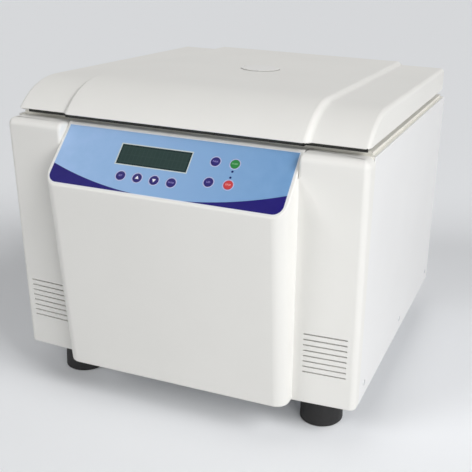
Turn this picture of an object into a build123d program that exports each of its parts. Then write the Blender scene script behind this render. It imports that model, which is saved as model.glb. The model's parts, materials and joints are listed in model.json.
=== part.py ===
from build123d import *
import os
from math import acos, cos, degrees, radians, sin, sqrt

os.makedirs("parts", exist_ok=True)

# Benchtop cytocentrifuge. Millimetres. X runs across the machine, -Y is its front, +Z is up.
# The origin is on the bench, under the middle of the machine's length and width.

# ------------------------------------------------------------------ casing
body_width = 430.0  # over the two side panels
body_depth = 399.0  # side panels, from the front seam to the back
body_height = 289.0  # side panels, underside to top
sheet = 1.5  # steel side and rear panels
base_sheet = 2.0
base_flange = 28.0  # height of the base pan's upturned edges
return_width = 14.0  # side panels' turned-in rear edge
ledge_width = 12.0  # side panels' turned-in top ledge, which carries the deck
panel_corner = 6.0  # side panels' rear top corner
panel_fit = 0.2  # gap round pieces that drop into the casing

foot_height = 42.0
foot_diameter = 52.0
foot_taper = 2.0  # the foot's top is this much smaller in radius
foot_inset_x = 51.0  # foot axis, in from the casing's side
foot_inset_y = 26.0  # foot axis, in from the seam and from the back
foot_bolt_radius = 3.0
foot_bore_depth = 14.0  # counterbore for the bolt head
foot_bore_radius = 8.0
foot_edge_chamfer = 1.5
foot_bolt_head_radius = 6.5
foot_bolt_head_height = 4.0
foot_bolt_end = 8.0  # bolt end, above the base plate
foot_nut_height = 5.0

screw_radius = 2.0
screw_head_radius = 3.5
screw_head_height = 0.8
screw_length = 8.0
screw_clearance = 0.2
thread_clearance = 0.05
side_screw_height = 18.0  # above the casing's underside
side_screw_inset = 20.0  # from the seam and from the back

# ------------------------------------------------------------------ deck and lid
deck_thickness = 3.0
deck_rise = 3.5  # raised platform on the deck
platform_inset = 5.0
lid_gap = 8.7  # casing top to lid rim
lid_width = 419.6
lid_rear_overhang = 11.0
lid_height = 35.2  # rim to the raised middle
lid_step = 4.6  # raised middle above the sides
lid_middle_width = 284.4  # top of the raised middle
lid_wall = 3.0
lid_front_radius = 98.0  # roll of the raised middle down to the rim
lid_front_centre = 62.0  # centre of that roll, behind the seam
lid_edge_round = 5.0
lid_rear_round = 8.0
liner_sheet = 1.5
liner_fit = 0.3
liner_front_gap = 2.2
boss_radius = 5.0
boss_inset_x = 42.0
boss_inset_y = 60.0
port_radius = 25.0
port_proud = 1.2
port_seat = 1.5
port_stem_radius = 20.0
port_fit = 0.2

# ------------------------------------------------------------------ front moulding
moulding_wall = 3.0
console_half_width = 141.5
console_foot_reach = 42.5  # foot of the console, ahead of the seam
console_reach = 62.5  # console's knee, ahead of the seam
console_top_reach = 6.4  # top edge of the control face, ahead of the seam
console_slope = 46.2  # control face, degrees above horizontal
console_corner = 15.0
console_knee_round = 2.0
console_foot_round = 2.5
wing_foot_reach = 20.0
wing_top_reach = 26.5
wing_sweep = 3.0  # degrees that a wing's face falls back towards the side
wing_corner = 11.0
wing_top_round = 9.0
vent_count = 8
vent_pitch = 6.77
vent_height = 1.5
vent_length = 50.4
vent_outer_inset = 10.8  # outer end of the vents, from the casing's side
vent_lowest = 40.4  # above the casing's underside

# ------------------------------------------------------------------ control face
overlay_thickness = 0.8
overlay_margin = 3.0  # from the control face's top edge
overlay_half_width = 138.5
overlay_length = 75.2
overlay_corner = 12.0
overlay_fit = 0.15
window_width = 86.0
window_height = 25.8
window_x = -21.5
window_drop = 29.1  # window centre, down the slope from the overlay's top
window_thickness = 1.5
window_ledge = 2.0
key_radius = 5.15
key_clearance = 0.3
key_proud = 0.5
key_travel = 0.5
key_flange = 1.1
key_flange_thickness = 0.9
key_stem_radius = 1.75
key_stop_gap = 0.1
key_row_x = -52.0
key_row_pitch = 20.2
key_row_drop = 55.4
key_block_x = 49.6
key_block_pitch = 22.3
key_block_drop = 23.8
key_block_rise = 24.8
lamp_radius = 1.25
lamp_x = 71.6
lamp_drops = (32.8, 39.9)
board_depth = 12.0  # control board's face, behind the control face
board_thickness = 1.6
board_margin = 6.0
switch_size = 6.0
switch_height = 2.8
switch_plunger = 0.6
module_thickness = 5.0

# ------------------------------------------------------------------ chamber and drive
rotor_back = 213.0  # rotor axis, behind the seam
bowl_radius = 150.0
bowl_wall = 1.5
bowl_depth = 162.0  # rim to floor
bowl_corner = 18.0
bowl_rim = 12.0
bowl_hub_hole = 30.0
bowl_hub_rise = 8.0
seal_width = 9.0
seal_clearance = 0.3
ring_radius = 160.0  # guard ring, outside
ring_wall = 4.0
ring_headroom = 8.0
motor_radius = 58.0
motor_low = 16.0  # above the casing's underside
motor_height = 88.0
stator_bore = 37.0
bearing_radius = 16.0
bearing_width = 10.0
motor_plate_size = 208.0
motor_plate_thickness = 4.0
damper_radius = 14.0
damper_height = 24.0
damper_inset = 16.0  # damper axis, in from the motor plate's edge
post_radius = 12.0
shaft_radius = 6.0
shaft_fit = 0.05
armature_radius = 35.0

# ------------------------------------------------------------------ rotor and carriers
pivot_height = 222.0  # carrier pivots, above the casing's underside
rotor_radius = 112.0
rotor_thickness = 12.0
pocket_root = 58.0  # inner wall of a rotor pocket
pocket_gap = 0.7
rotor_hub_radius = 22.0
rotor_hub_height = 16.0
nut_radius = 15.0
nut_height = 14.0
nut_flutes = 8
pivot_radius = 90.0
carrier_count = 4
trunnion_radius = 3.0
trunnion_length = 6.5
trunnion_fit = 0.05
slide_length = 76.0
slide_width = 26.0
slide_thickness = 1.0
slide_room = 0.5
carrier_sheet = 1.6
carrier_drop = 48.0  # pivot to the underside of the carrier's tray
carrier_arm_width = 22.0
tray_depth = 30.0
tray_thickness = 2.0
tray_lip = 2.6
cup_radius = 12.0
cup_bore = 10.0
cup_top = -3.0  # cup's mouth, from the pivot
cup_flange = 1.0
outlet_radius = 3.5
funnel_foot_length = 44.0
funnel_foot_width = 25.0
funnel_foot_thickness = 4.0

# ------------------------------------------------------------------ lock
hook_back = 22.0  # lid hook, behind the seam
hook_width = 20.0
hook_sheet = 4.0
hook_drop = 40.0
hook_foot = 2.0
hook_eye_width = 14.0
hook_eye_low = 5.0  # eye's lower edge, above the hook's end
hook_eye_height = 14.0
hook_slot_room = 4.0
pawl_width = 11.0
pawl_release = 25.0  # degrees from caught to released
pawl_pivot_back = 14.0  # pivot behind the hook
pawl_pivot_radius = 2.5
pawl_fit = 0.05
pawl_arm = 14.0  # pivot to the underside of the nose
pawl_nose = 17.0  # reach of the nose, ahead of the pivot
pawl_nose_height = 5.0
pawl_tail = 12.0
pawl_play = 0.8
pawl_tail_grip = 4.0  # plunger axis, in from the tail's end
pawl_boss = 5.0
cheek_gap = 0.4
cheek_side_room = 1.0
lock_floor_room = 7.0
lock_back_room = 6.0
cheek_sheet = 2.0
lock_flange = 12.0
solenoid_size = 24.0
solenoid_height = 30.0
plunger_radius = 3.0
plunger_tip_radius = 1.5
plunger_gap = 0.8
plunger_shoulder = 1.0  # shoulder above the lock's floor
plunger_fit = 0.3

# ------------------------------------------------------------------ hinges
hinge_setback = 3.0  # hinge axis, in from the casing's back
hinge_rise = 4.3  # hinge axis above the casing's top
hinge_spread = 115.0  # hinge centres, from the middle
hinge_length = 48.0
hinge_knuckle = 3.5
hinge_pin_radius = 1.75
hinge_pin_fit = 0.05
hinge_leaf = 2.0
hinge_leaf_depth = 28.0
hinge_gap = 0.5

# ------------------------------------------------------------------ rear panel equipment
fan_inset = 97.0  # fan axis, in from the casing's side
fan_height = 92.0
fan_size = 80.0
fan_depth = 25.0
fan_bore = 38.0
fan_hub = 15.0
fan_strut = 3.0
fan_spindle = 2.0
fan_spindle_fit = 0.06
fan_blades = 7
fan_blade_gap = 1.5
fan_blade_pitch = 38.0
fan_blade_root = 1.0  # how deep a blade enters the hub
fan_blade_sheet = 1.6
fan_blade_chord = 18.0
grille_slots = 8
grille_pitch = 9.0
grille_slot = 4.0
grille_length = 62.0
inlet_inset = 95.0  # inlet and switch, in from the casing's other side
inlet_height = 46.0
inlet_width = 28.0
inlet_tall = 22.0
inlet_depth = 22.0
inlet_flange = 10.0
inlet_flange_thickness = 2.5
socket_width = 24.5
socket_tall = 17.0
socket_depth = 16.0
pin_spread = 7.0
pin_rise = 0.5  # live and neutral pins, above the socket's middle
pin_thickness = 2.0
pin_height = 4.0
switch_rise = 96.0
rocker_width = 13.0
rocker_length = 22.0
rocker_throw = 9.0  # degrees each side of level
rocker_fit = 0.5
rocker_pivot_radius = 1.5
rocker_pivot_fit = 0.06
rocker_pivot_depth = 3.0  # pivot, inside the rear panel's outer face
rocker_rim = 2.5  # frame round the rocker
rocker_end_room = 0.7
rocker_foot = 4.0  # rocker's foot, inside its pivot
rocker_foot_half = 7.7
rocker_tip = 6.0  # raised ends, outside its pivot
rocker_saddle = 4.0
switch_flange = 2.0
switch_depth = 16.0

# ------------------------------------------------------------------ power board
power_board_front = 5.0  # behind the seam
power_board_width = 42.0
power_board_half = 90.0
power_board_stand = 8.0  # above the base plate
coil_x = (-75.0, -25.0)
coil_height = 30.0
capacitor_x = (0.0, 26.0)
capacitor_radius = 11.0
relay_x = (50.0, 70.0)
relay_height = 25.0

overcut = 1.0  # how far a cut runs past a face

# ------------------------------------------------------------------ derived places
seam_y = (console_reach - body_depth - lid_rear_overhang) / 2
back_y = seam_y + body_depth
base_z = foot_height
top_z = base_z + body_height
deck_top_z = top_z + deck_rise
half_width = body_width / 2
inner_half_width = half_width - sheet
rear_panel_y = back_y - sheet  # rear panel's outer face, behind the side panels' returns
deck_low_z = top_z - deck_thickness
floor_z = base_z + base_sheet
lid_z = top_z + lid_gap
lid_top_z = lid_z + lid_height
lid_rear_y = back_y + lid_rear_overhang
liner_top_z = lid_z + liner_sheet
slope = radians(console_slope)
rotor_y = seam_y + rotor_back
pivot_z = base_z + pivot_height
rim_z = deck_top_z  # underside of the bowl's rim
bowl_floor_z = rim_z - bowl_depth
motor_top_z = base_z + motor_low + motor_height
fan_x = half_width - fan_inset
inlet_x = inlet_inset - half_width
switch_x = inlet_x
hinge_y = back_y - hinge_setback
hinge_z = top_z + hinge_rise
hook_y = seam_y + hook_back
hook_low_z = lid_z - hook_drop
switch_body_width = rocker_width + 2 * rocker_rim
switch_body_length = rocker_length + 2 * rocker_rim
spin_axis = Axis((0, rotor_y, 0), (0, 0, 1))
spin_plane = Plane(origin=(0, rotor_y, 0), x_dir=(1, 0, 0), z_dir=(0, -1, 0))
rotor_plane = Plane(origin=(0, rotor_y, pivot_z))
damper_spacing = motor_plate_size - 2 * damper_inset
panel_plane = Plane(
    origin=(
        0,
        seam_y - console_top_reach - overlay_margin * cos(slope),
        top_z - overlay_margin * sin(slope),
    ),
    x_dir=(1, 0, 0),
    z_dir=(0, -sin(slope), cos(slope)),
)
key_places = {
    "key_set": (key_row_x, key_row_drop),
    "key_up": (key_row_x + key_row_pitch, key_row_drop),
    "key_down": (key_row_x + 2 * key_row_pitch, key_row_drop),
    "key_enter": (key_row_x + 3 * key_row_pitch, key_row_drop),
    "key_pulse": (key_block_x, key_block_drop),
    "key_start": (key_block_x + key_block_pitch, key_block_drop),
    "key_lid": (key_block_x, key_block_drop + key_block_rise),
    "key_stop": (key_block_x + key_block_pitch, key_block_drop + key_block_rise),
}
key_spots = [(x, -drop) for x, drop in key_places.values()]
lamp_spots = [(lamp_x, -drop) for drop in lamp_drops]
foot_spots = [
    (x, y)
    for x in (-half_width + foot_inset_x, half_width - foot_inset_x)
    for y in (seam_y + foot_inset_y, back_y - foot_inset_y)
]
side_screw_spots = [
    (y, base_z + side_screw_height)
    for y in (seam_y + side_screw_inset, (seam_y + back_y) / 2, back_y - side_screw_inset)
]
rear_screw_heights = [base_z + body_height * share for share in (0.15, 0.5, 0.85)]
rear_screw_x = half_width - return_width / 2


def block(x, y, z, mode=Mode.ADD):
    """Box between two X, two Y and two Z values."""
    with Locations(((x[0] + x[1]) / 2, (y[0] + y[1]) / 2, (z[0] + z[1]) / 2)):
        Box(x[1] - x[0], y[1] - y[0], z[1] - z[0], mode=mode)


def peg(x, y, low, high, radius, mode=Mode.ADD):
    """Upright cylinder between two heights."""
    with Locations((x, y, (low + high) / 2)):
        Cylinder(radius, high - low, mode=mode)


def rear_cutout(x, z, width, height):
    """Rectangular hole through the rear panel for a piece of the given size."""
    block(
        (x - width / 2 - panel_fit, x + width / 2 + panel_fit),
        (rear_panel_y - 2 * sheet, rear_panel_y + sheet),
        (z - height / 2 - panel_fit, z + height / 2 + panel_fit),
        mode=Mode.SUBTRACT,
    )


def ring(inner, outer, low, high):
    """Sketch rectangle that revolves into a ring about the rotor's axis."""
    with Locations(((inner + outer) / 2, (low + high) / 2)):
        Rectangle(outer - inner, high - low)


# ------------------------------------------------------------------ base plate and feet
with BuildPart() as base_plate:
    pan_y = (seam_y + panel_fit, rear_panel_y - sheet)
    block((-inner_half_width, inner_half_width), pan_y, (base_z, floor_z))
    for side in (-1, 1):
        edge_x = sorted((side * inner_half_width, side * (inner_half_width - base_sheet)))
        block(edge_x, pan_y, (floor_z, base_z + base_flange))
    block(
        (-inner_half_width, inner_half_width),
        (pan_y[1] - base_sheet, pan_y[1]),
        (floor_z, base_z + base_flange),
    )
    with Locations((0, rotor_y, 0)):
        with GridLocations(damper_spacing, damper_spacing, 2, 2):
            peg(0, 0, floor_z, motor_top_z - damper_height, post_radius)
    with Locations(*[(x, y, base_z) for x, y in foot_spots]):
        Cylinder(foot_bolt_radius + screw_clearance, 4 * base_sheet, mode=Mode.SUBTRACT)
    with Locations(*[(0, y, z) for y, z in side_screw_spots]):
        Cylinder(
            screw_radius + thread_clearance,
            body_width,
            rotation=(0, 90, 0),
            mode=Mode.SUBTRACT,
        )
base_plate.part.label = "base_plate"
export_step(base_plate.part, "parts/base_plate.step")

with BuildPart() as feet:
    with Locations(*[(x, y, 0) for x, y in foot_spots]):
        Cone(
            foot_diameter / 2,
            foot_diameter / 2 - foot_taper,
            foot_height,
            align=(Align.CENTER, Align.CENTER, Align.MIN),
        )
    chamfer(feet.edges().group_by(Axis.Z)[0], foot_edge_chamfer)
    with Locations(*[(x, y, 0) for x, y in foot_spots]):
        Cylinder(
            foot_bore_radius,
            foot_bore_depth,
            align=(Align.CENTER, Align.CENTER, Align.MIN),
            mode=Mode.SUBTRACT,
        )
        Cylinder(
            foot_bolt_radius + screw_clearance,
            foot_height,
            align=(Align.CENTER, Align.CENTER, Align.MIN),
            mode=Mode.SUBTRACT,
        )
feet.part.label = "feet"
export_step(feet.part, "parts/feet.step")

# ------------------------------------------------------------------ side and rear panels
with BuildPart() as right_side_panel:
    with BuildSketch(Plane.YZ.offset(inner_half_width)) as side_outline:
        with Locations(((seam_y + back_y) / 2, (base_z + top_z) / 2)):
            Rectangle(body_depth, body_height)
        fillet(side_outline.vertices().group_by(Axis.Y)[-1].sort_by(Axis.X)[-1], panel_corner)
    extrude(amount=sheet)
    block(
        (half_width - return_width, inner_half_width),
        (rear_panel_y, back_y),
        (base_z, top_z - panel_corner),
    )
    block(
        (half_width - ledge_width, inner_half_width),
        (seam_y + moulding_wall, rear_panel_y - sheet),
        (deck_low_z - sheet, deck_low_z),
    )
    with Locations(*[(half_width, y, z) for y, z in side_screw_spots]):
        Cylinder(
            screw_radius + screw_clearance, 4 * sheet, rotation=(0, 90, 0), mode=Mode.SUBTRACT
        )
    with Locations(*[(rear_screw_x, back_y, z) for z in rear_screw_heights]):
        Cylinder(
            screw_radius + screw_clearance, 4 * sheet, rotation=(90, 0, 0), mode=Mode.SUBTRACT
        )
right_side_panel.part.label = "right_side_panel"
export_step(right_side_panel.part, "parts/right_side_panel.step")

with BuildPart() as left_side_panel:
    mirror(right_side_panel.part, about=Plane.YZ)
left_side_panel.part.label = "left_side_panel"
export_step(left_side_panel.part, "parts/left_side_panel.step")

with BuildPart() as rear_panel:
    block(
        (-inner_half_width + panel_fit, inner_half_width - panel_fit),
        (rear_panel_y - sheet, rear_panel_y),
        (base_z, deck_low_z),
    )
    for slot in range(grille_slots):
        slot_z = base_z + fan_height + (slot - (grille_slots - 1) / 2) * grille_pitch
        block(
            (fan_x - grille_length / 2, fan_x + grille_length / 2),
            (rear_panel_y - 2 * sheet, rear_panel_y + sheet),
            (slot_z - grille_slot / 2, slot_z + grille_slot / 2),
            mode=Mode.SUBTRACT,
        )
    rear_cutout(inlet_x, base_z + inlet_height, inlet_width, inlet_tall)
    rear_cutout(switch_x, base_z + switch_rise, switch_body_width, switch_body_length)
    with Locations(
        *[(side * rear_screw_x, back_y, z) for side in (-1, 1) for z in rear_screw_heights]
    ):
        Cylinder(
            screw_radius + thread_clearance, 8 * sheet, rotation=(90, 0, 0), mode=Mode.SUBTRACT
        )
rear_panel.part.label = "rear_panel"
export_step(rear_panel.part, "parts/rear_panel.step")

# ------------------------------------------------------------------ top deck
with BuildPart() as top_deck:
    block(
        (-inner_half_width + panel_fit, inner_half_width - panel_fit),
        (seam_y, rear_panel_y),
        (deck_low_z, top_z),
    )
    block(
        (-half_width + platform_inset, half_width - platform_inset),
        (seam_y + platform_inset, rear_panel_y - platform_inset),
        (top_z, deck_top_z),
    )
    peg(
        0,
        rotor_y,
        deck_low_z - deck_thickness,
        deck_top_z + deck_thickness,
        bowl_radius + bowl_wall + panel_fit,
        mode=Mode.SUBTRACT,
    )
    block(
        (-hook_width / 2 - hook_slot_room, hook_width / 2 + hook_slot_room),
        (hook_y - hook_sheet / 2 - hook_slot_room, hook_y + hook_sheet / 2 + hook_slot_room),
        (deck_low_z - overcut, deck_top_z + overcut),
        mode=Mode.SUBTRACT,
    )
    for side in (-1, 1):
        block(
            (
                side * hinge_spread - hinge_length / 2 - hinge_gap,
                side * hinge_spread + hinge_length / 2 + hinge_gap,
            ),
            (hinge_y - hinge_leaf_depth - hinge_gap, back_y),
            (top_z, deck_top_z + overcut),
            mode=Mode.SUBTRACT,
        )
top_deck.part.label = "top_deck"
export_step(top_deck.part, "parts/top_deck.step")


# ------------------------------------------------------------------ front moulding
def console_block(inset, back):
    """Console in the middle of the front moulding, its outer faces moved in by inset."""
    console_rise = (console_reach - console_top_reach) * sin(slope) / cos(slope)
    with BuildPart() as console:
        with BuildSketch(Plane.YZ):
            with BuildLine():
                Polyline(
                    (back + inset, base_z),
                    (seam_y - console_foot_reach, base_z),
                    (seam_y - console_reach, top_z - console_rise),
                    (seam_y - console_top_reach, top_z),
                    (back + inset, top_z),
                    close=True,
                )
            make_face()
            if inset > 0:
                offset(amount=-inset, kind=Kind.INTERSECTION)
        extrude(amount=console_half_width - inset, both=True)
        front = console.faces().sort_by(Axis.Y)[0]
        fillet(
            front.edges().group_by(Axis.X)[0] + front.edges().group_by(Axis.X)[-1],
            console_corner - inset,
        )
        if inset == 0:
            foot = console.faces().sort_by(Axis.Z)[0]
            fillet(foot.edges().sort_by(Axis.Y)[0], console_foot_round)
            knee = console.faces().filter_by(Plane.XZ, reverse=True).sort_by(Axis.Y)
            front = [face for face in knee if face.normal_at().Y < -0.9 and face.area > body_width]
            fillet(front[0].edges().sort_by(Axis.Z)[-1], console_knee_round)
    return console.part


def wing_block(inset, back):
    """Right wing of the front moulding, its outer faces moved in by inset."""
    with BuildPart() as wing:
        with BuildSketch(Plane.YZ.offset(console_half_width + inset)):
            with BuildLine():
                Polyline(
                    (back, base_z + inset),
                    (seam_y - wing_foot_reach + inset, base_z + inset),
                    (seam_y - wing_top_reach + inset, top_z - inset),
                    (back, top_z - inset),
                    close=True,
                )
            make_face()
        extrude(
            amount=half_width - console_half_width,
            dir=(cos(radians(wing_sweep)), sin(radians(wing_sweep)), 0),
        )
        block(
            (half_width - inset, body_width),
            (seam_y - console_reach, back_y),
            (0, lid_z),
            mode=Mode.SUBTRACT,
        )
        block(
            (0, body_width),
            (back, back_y),
            (0, lid_z),
            mode=Mode.SUBTRACT,
        )
        side_face = wing.faces().sort_by(Axis.X)[-1]
        fillet(side_face.edges().sort_by(Axis.Y)[0], wing_corner - inset)
        top_face = wing.faces().sort_by(Axis.Z)[-1]
        fillet(top_face.edges().sort_by(Axis.Y)[0], wing_top_round - inset)
    return wing.part


def overlay_outline(grow):
    """Outline of the control overlay, made larger all round by grow."""
    with Locations((0, -overlay_length / 2)):
        Rectangle(2 * (overlay_half_width + grow), overlay_length + 2 * grow)


console_outside = console_block(0, seam_y)
console_inside = console_block(moulding_wall, seam_y + moulding_wall)
wing_outside = wing_block(0, seam_y)
wing_inside = wing_block(moulding_wall, seam_y + moulding_wall)

with BuildPart() as front_housing:
    add(console_outside)
    add(wing_outside)
    add(mirror(wing_outside, about=Plane.YZ, mode=Mode.PRIVATE))
    add(console_inside, mode=Mode.SUBTRACT)
    add(wing_inside, mode=Mode.SUBTRACT)
    add(mirror(wing_inside, about=Plane.YZ, mode=Mode.PRIVATE), mode=Mode.SUBTRACT)
    for side in (-1, 1):
        for vent in range(vent_count):
            vent_z = base_z + vent_lowest + vent * vent_pitch
            vent_x = sorted(
                (
                    side * (half_width - vent_outer_inset),
                    side * (half_width - vent_outer_inset - vent_length),
                )
            )
            block(
                vent_x,
                (seam_y - console_reach, seam_y - wing_corner + moulding_wall),
                (vent_z - vent_height / 2, vent_z + vent_height / 2),
                mode=Mode.SUBTRACT,
            )
    with BuildSketch(panel_plane) as recess:
        overlay_outline(overlay_fit)
        fillet(recess.vertices().group_by(Axis.Y)[0], overlay_corner)
    extrude(amount=-overlay_thickness, mode=Mode.SUBTRACT)
    with BuildSketch(panel_plane):
        with Locations((window_x, -window_drop)):
            Rectangle(window_width + overlay_fit, window_height + overlay_fit)
    extrude(amount=-window_thickness, mode=Mode.SUBTRACT)
    with BuildSketch(panel_plane):
        with Locations((window_x, -window_drop)):
            Rectangle(window_width - 2 * window_ledge, window_height - 2 * window_ledge)
        with Locations(*key_spots):
            Circle(key_radius + key_clearance)
        with Locations(*lamp_spots):
            Circle(lamp_radius + overlay_fit)
    extrude(amount=-2 * moulding_wall, mode=Mode.SUBTRACT)
    with BuildSketch(panel_plane.offset(-moulding_wall)):
        with Locations((0, -overlay_length / 2)):
            with GridLocations(
                2 * (overlay_half_width - 3 * board_margin),
                overlay_length - 3 * board_margin,
                2,
                2,
            ):
                Circle(board_margin / 2)
    extrude(amount=-(board_depth - moulding_wall))
front_housing.part.label = "front_housing"
export_step(front_housing.part, "parts/front_housing.step")

# ------------------------------------------------------------------ control face
with BuildPart() as control_overlay:
    with BuildSketch(panel_plane.offset(-overlay_thickness)) as overlay_face:
        overlay_outline(0)
        fillet(overlay_face.vertices().group_by(Axis.Y)[0], overlay_corner)
        with Locations((window_x, -window_drop)):
            Rectangle(
                window_width + overlay_fit, window_height + overlay_fit, mode=Mode.SUBTRACT
            )
        with Locations(*key_spots):
            Circle(key_radius + key_clearance, mode=Mode.SUBTRACT)
        with Locations(*lamp_spots):
            Circle(lamp_radius + overlay_fit, mode=Mode.SUBTRACT)
    extrude(amount=overlay_thickness)
control_overlay.part.label = "control_overlay"
export_step(control_overlay.part, "parts/control_overlay.step")

with BuildPart() as display_window:
    with BuildSketch(panel_plane.offset(-window_thickness)):
        with Locations((window_x, -window_drop)):
            Rectangle(window_width, window_height)
    extrude(amount=window_thickness)
display_window.part.label = "display_window"
export_step(display_window.part, "parts/display_window.step")

with BuildPart() as display_module:
    with BuildSketch(panel_plane.offset(-moulding_wall)):
        with Locations((window_x, -window_drop)):
            Rectangle(window_width + 2 * window_ledge, window_height + 2 * window_ledge)
    extrude(amount=-module_thickness)
    with BuildSketch(panel_plane.offset(-moulding_wall - module_thickness)):
        with Locations((window_x, -window_drop)):
            Rectangle(window_width + 8 * window_ledge, window_height + 6 * window_ledge)
    extrude(amount=-board_thickness)
display_module.part.label = "display_module"
export_step(display_module.part, "parts/display_module.step")

with BuildPart() as control_board:
    with BuildSketch(panel_plane.offset(-board_depth)):
        with Locations((0, -overlay_length / 2)):
            Rectangle(
                2 * (overlay_half_width - 2 * board_margin), overlay_length - 2 * board_margin
            )
    extrude(amount=-board_thickness)
    with BuildSketch(panel_plane.offset(-board_depth)):
        with Locations(*key_spots):
            Rectangle(switch_size, switch_size)
    extrude(amount=switch_height)
    with BuildSketch(panel_plane.offset(-board_depth + switch_height)):
        with Locations(*key_spots):
            Circle(key_stem_radius)
    extrude(amount=switch_plunger)
control_board.part.label = "control_board"
export_step(control_board.part, "parts/control_board.step")

with BuildPart() as status_lamps:
    with BuildSketch(panel_plane.offset(-board_depth)):
        with Locations(*lamp_spots):
            Circle(lamp_radius)
    extrude(amount=board_depth + overlay_fit)
status_lamps.part.label = "status_lamps"
export_step(status_lamps.part, "parts/status_lamps.step")

key_stop_depth = board_depth - switch_height - switch_plunger - key_travel - key_stop_gap
for key_name, (key_x, key_drop) in key_places.items():
    key_origin = panel_plane.from_local_coords((key_x, -key_drop, 0))
    key_plane = Plane(origin=key_origin, x_dir=(1, 0, 0), z_dir=panel_plane.z_dir)
    with BuildPart() as key:
        with BuildSketch(key_plane.offset(-moulding_wall - key_clearance)):
            Circle(key_radius)
        extrude(amount=moulding_wall + key_clearance + key_proud)
        with BuildSketch(key_plane.offset(-moulding_wall - key_clearance)):
            Circle(key_radius + key_flange)
        extrude(amount=-key_flange_thickness)
        with BuildSketch(key_plane.offset(-key_stop_depth)):
            Circle(key_stem_radius)
        extrude(amount=key_stop_depth - moulding_wall - key_clearance)
    key.part.label = key_name
    export_step(key.part, f"parts/{key_name}.step")


# ------------------------------------------------------------------ lid
def lid_block(inset, half, rim, rear, side_round=0, side_chamfer=0):
    """Solid lid shape, inset below the raised middle's surface, from its rim up."""
    radius = lid_front_radius - inset
    top = lid_top_z - inset
    centre_y = seam_y + lid_front_centre
    drop = rim - (lid_top_z - lid_front_radius)
    with BuildPart() as shell:
        with BuildSketch(Plane.YZ) as lid_profile:
            with BuildLine():
                roll = JernArc(
                    start=(centre_y, top),
                    tangent=(-1, 0),
                    radius=radius,
                    arc_size=degrees(acos(drop / radius)),
                )
                Polyline(roll @ 1, (rear, rim), (rear, top), (centre_y, top))
            make_face()
            fillet(
                lid_profile.vertices().group_by(Axis.X)[-1].sort_by(Axis.Y)[-1],
                lid_rear_round - (lid_rear_y - rear),
            )
        extrude(amount=half, both=True)
        outlines = shell.edges().group_by(Axis.X)[0] + shell.edges().group_by(Axis.X)[-1]
        crown = [edge for edge in outlines if edge.center().Z > rim + overcut]
        if side_round > 0:
            fillet(crown, side_round)
        if side_chamfer > 0:
            chamfer([edge for edge in crown if edge.center().Z > (rim + top) / 2], side_chamfer)
    return shell.part


lid_half = lid_width / 2
middle_half = lid_middle_width / 2 + lid_step
lid_sides_outside = lid_block(lid_step, lid_half, lid_z, lid_rear_y, side_round=lid_edge_round)
lid_middle_outside = lid_block(0, middle_half, lid_z, lid_rear_y, side_chamfer=lid_step)
lid_sides_inside = lid_block(
    lid_step + lid_wall,
    lid_half - lid_wall,
    lid_z - overcut,
    lid_rear_y - lid_wall,
    side_round=lid_edge_round - lid_wall,
)
lid_middle_inside = lid_block(
    lid_wall,
    middle_half - lid_wall,
    lid_z - overcut,
    lid_rear_y - lid_wall,
    side_chamfer=lid_step,
)
boss_spots = [
    (side * x, y)
    for side in (-1, 1)
    for x in (lid_half - boss_inset_x, boss_inset_x)
    for y in (seam_y + lid_front_centre, back_y - boss_inset_y)
]

with BuildPart() as lid_cover:
    add(lid_sides_outside)
    add(lid_middle_outside)
    add(lid_sides_inside, mode=Mode.SUBTRACT)
    add(lid_middle_inside, mode=Mode.SUBTRACT)
    for boss_x, boss_y in boss_spots:
        boss_top_z = lid_top_z - lid_wall / 2 - (lid_step if abs(boss_x) > middle_half else 0)
        peg(boss_x, boss_y, liner_top_z, boss_top_z, boss_radius)
    peg(
        0,
        rotor_y,
        lid_top_z - port_seat,
        lid_top_z + overcut,
        port_radius + port_fit,
        mode=Mode.SUBTRACT,
    )
    peg(0, rotor_y, liner_top_z, lid_top_z, port_stem_radius + port_fit, mode=Mode.SUBTRACT)
lid_cover.part.label = "lid_cover"
export_step(lid_cover.part, "parts/lid_cover.step")

with BuildPart() as lid_liner:
    liner_half = lid_half - lid_wall - liner_fit
    liner_rear = lid_rear_y - lid_wall - liner_fit
    side_inner_radius = lid_front_radius - lid_step - lid_wall
    middle_inner_radius = lid_front_radius - lid_wall
    rim_drop = lid_z - (lid_top_z - lid_front_radius)
    roll_centre_y = seam_y + lid_front_centre
    side_front = sqrt(side_inner_radius**2 - rim_drop**2)
    middle_front = sqrt(middle_inner_radius**2 - rim_drop**2)
    liner_side_front = roll_centre_y - side_front + liner_front_gap
    liner_middle_front = roll_centre_y - middle_front + liner_front_gap
    block((-liner_half, liner_half), (liner_side_front, liner_rear), (lid_z, liner_top_z))
    liner_middle_half = middle_half - lid_step - lid_wall
    block(
        (-liner_middle_half, liner_middle_half),
        (liner_middle_front, liner_rear),
        (lid_z, liner_top_z),
    )
    peg(
        0,
        rotor_y,
        lid_z - overcut,
        liner_top_z + overcut,
        port_stem_radius + port_fit,
        mode=Mode.SUBTRACT,
    )
lid_liner.part.label = "lid_liner"
export_step(lid_liner.part, "parts/lid_liner.step")

with BuildPart() as sight_port:
    peg(0, rotor_y, lid_top_z - port_seat, lid_top_z + port_proud, port_radius)
    fillet(sight_port.edges().group_by(Axis.Z)[-1], port_proud / 2)
    peg(0, rotor_y, lid_z, lid_top_z - port_seat, port_stem_radius)
sight_port.part.label = "sight_port"
export_step(sight_port.part, "parts/sight_port.step")

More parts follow.
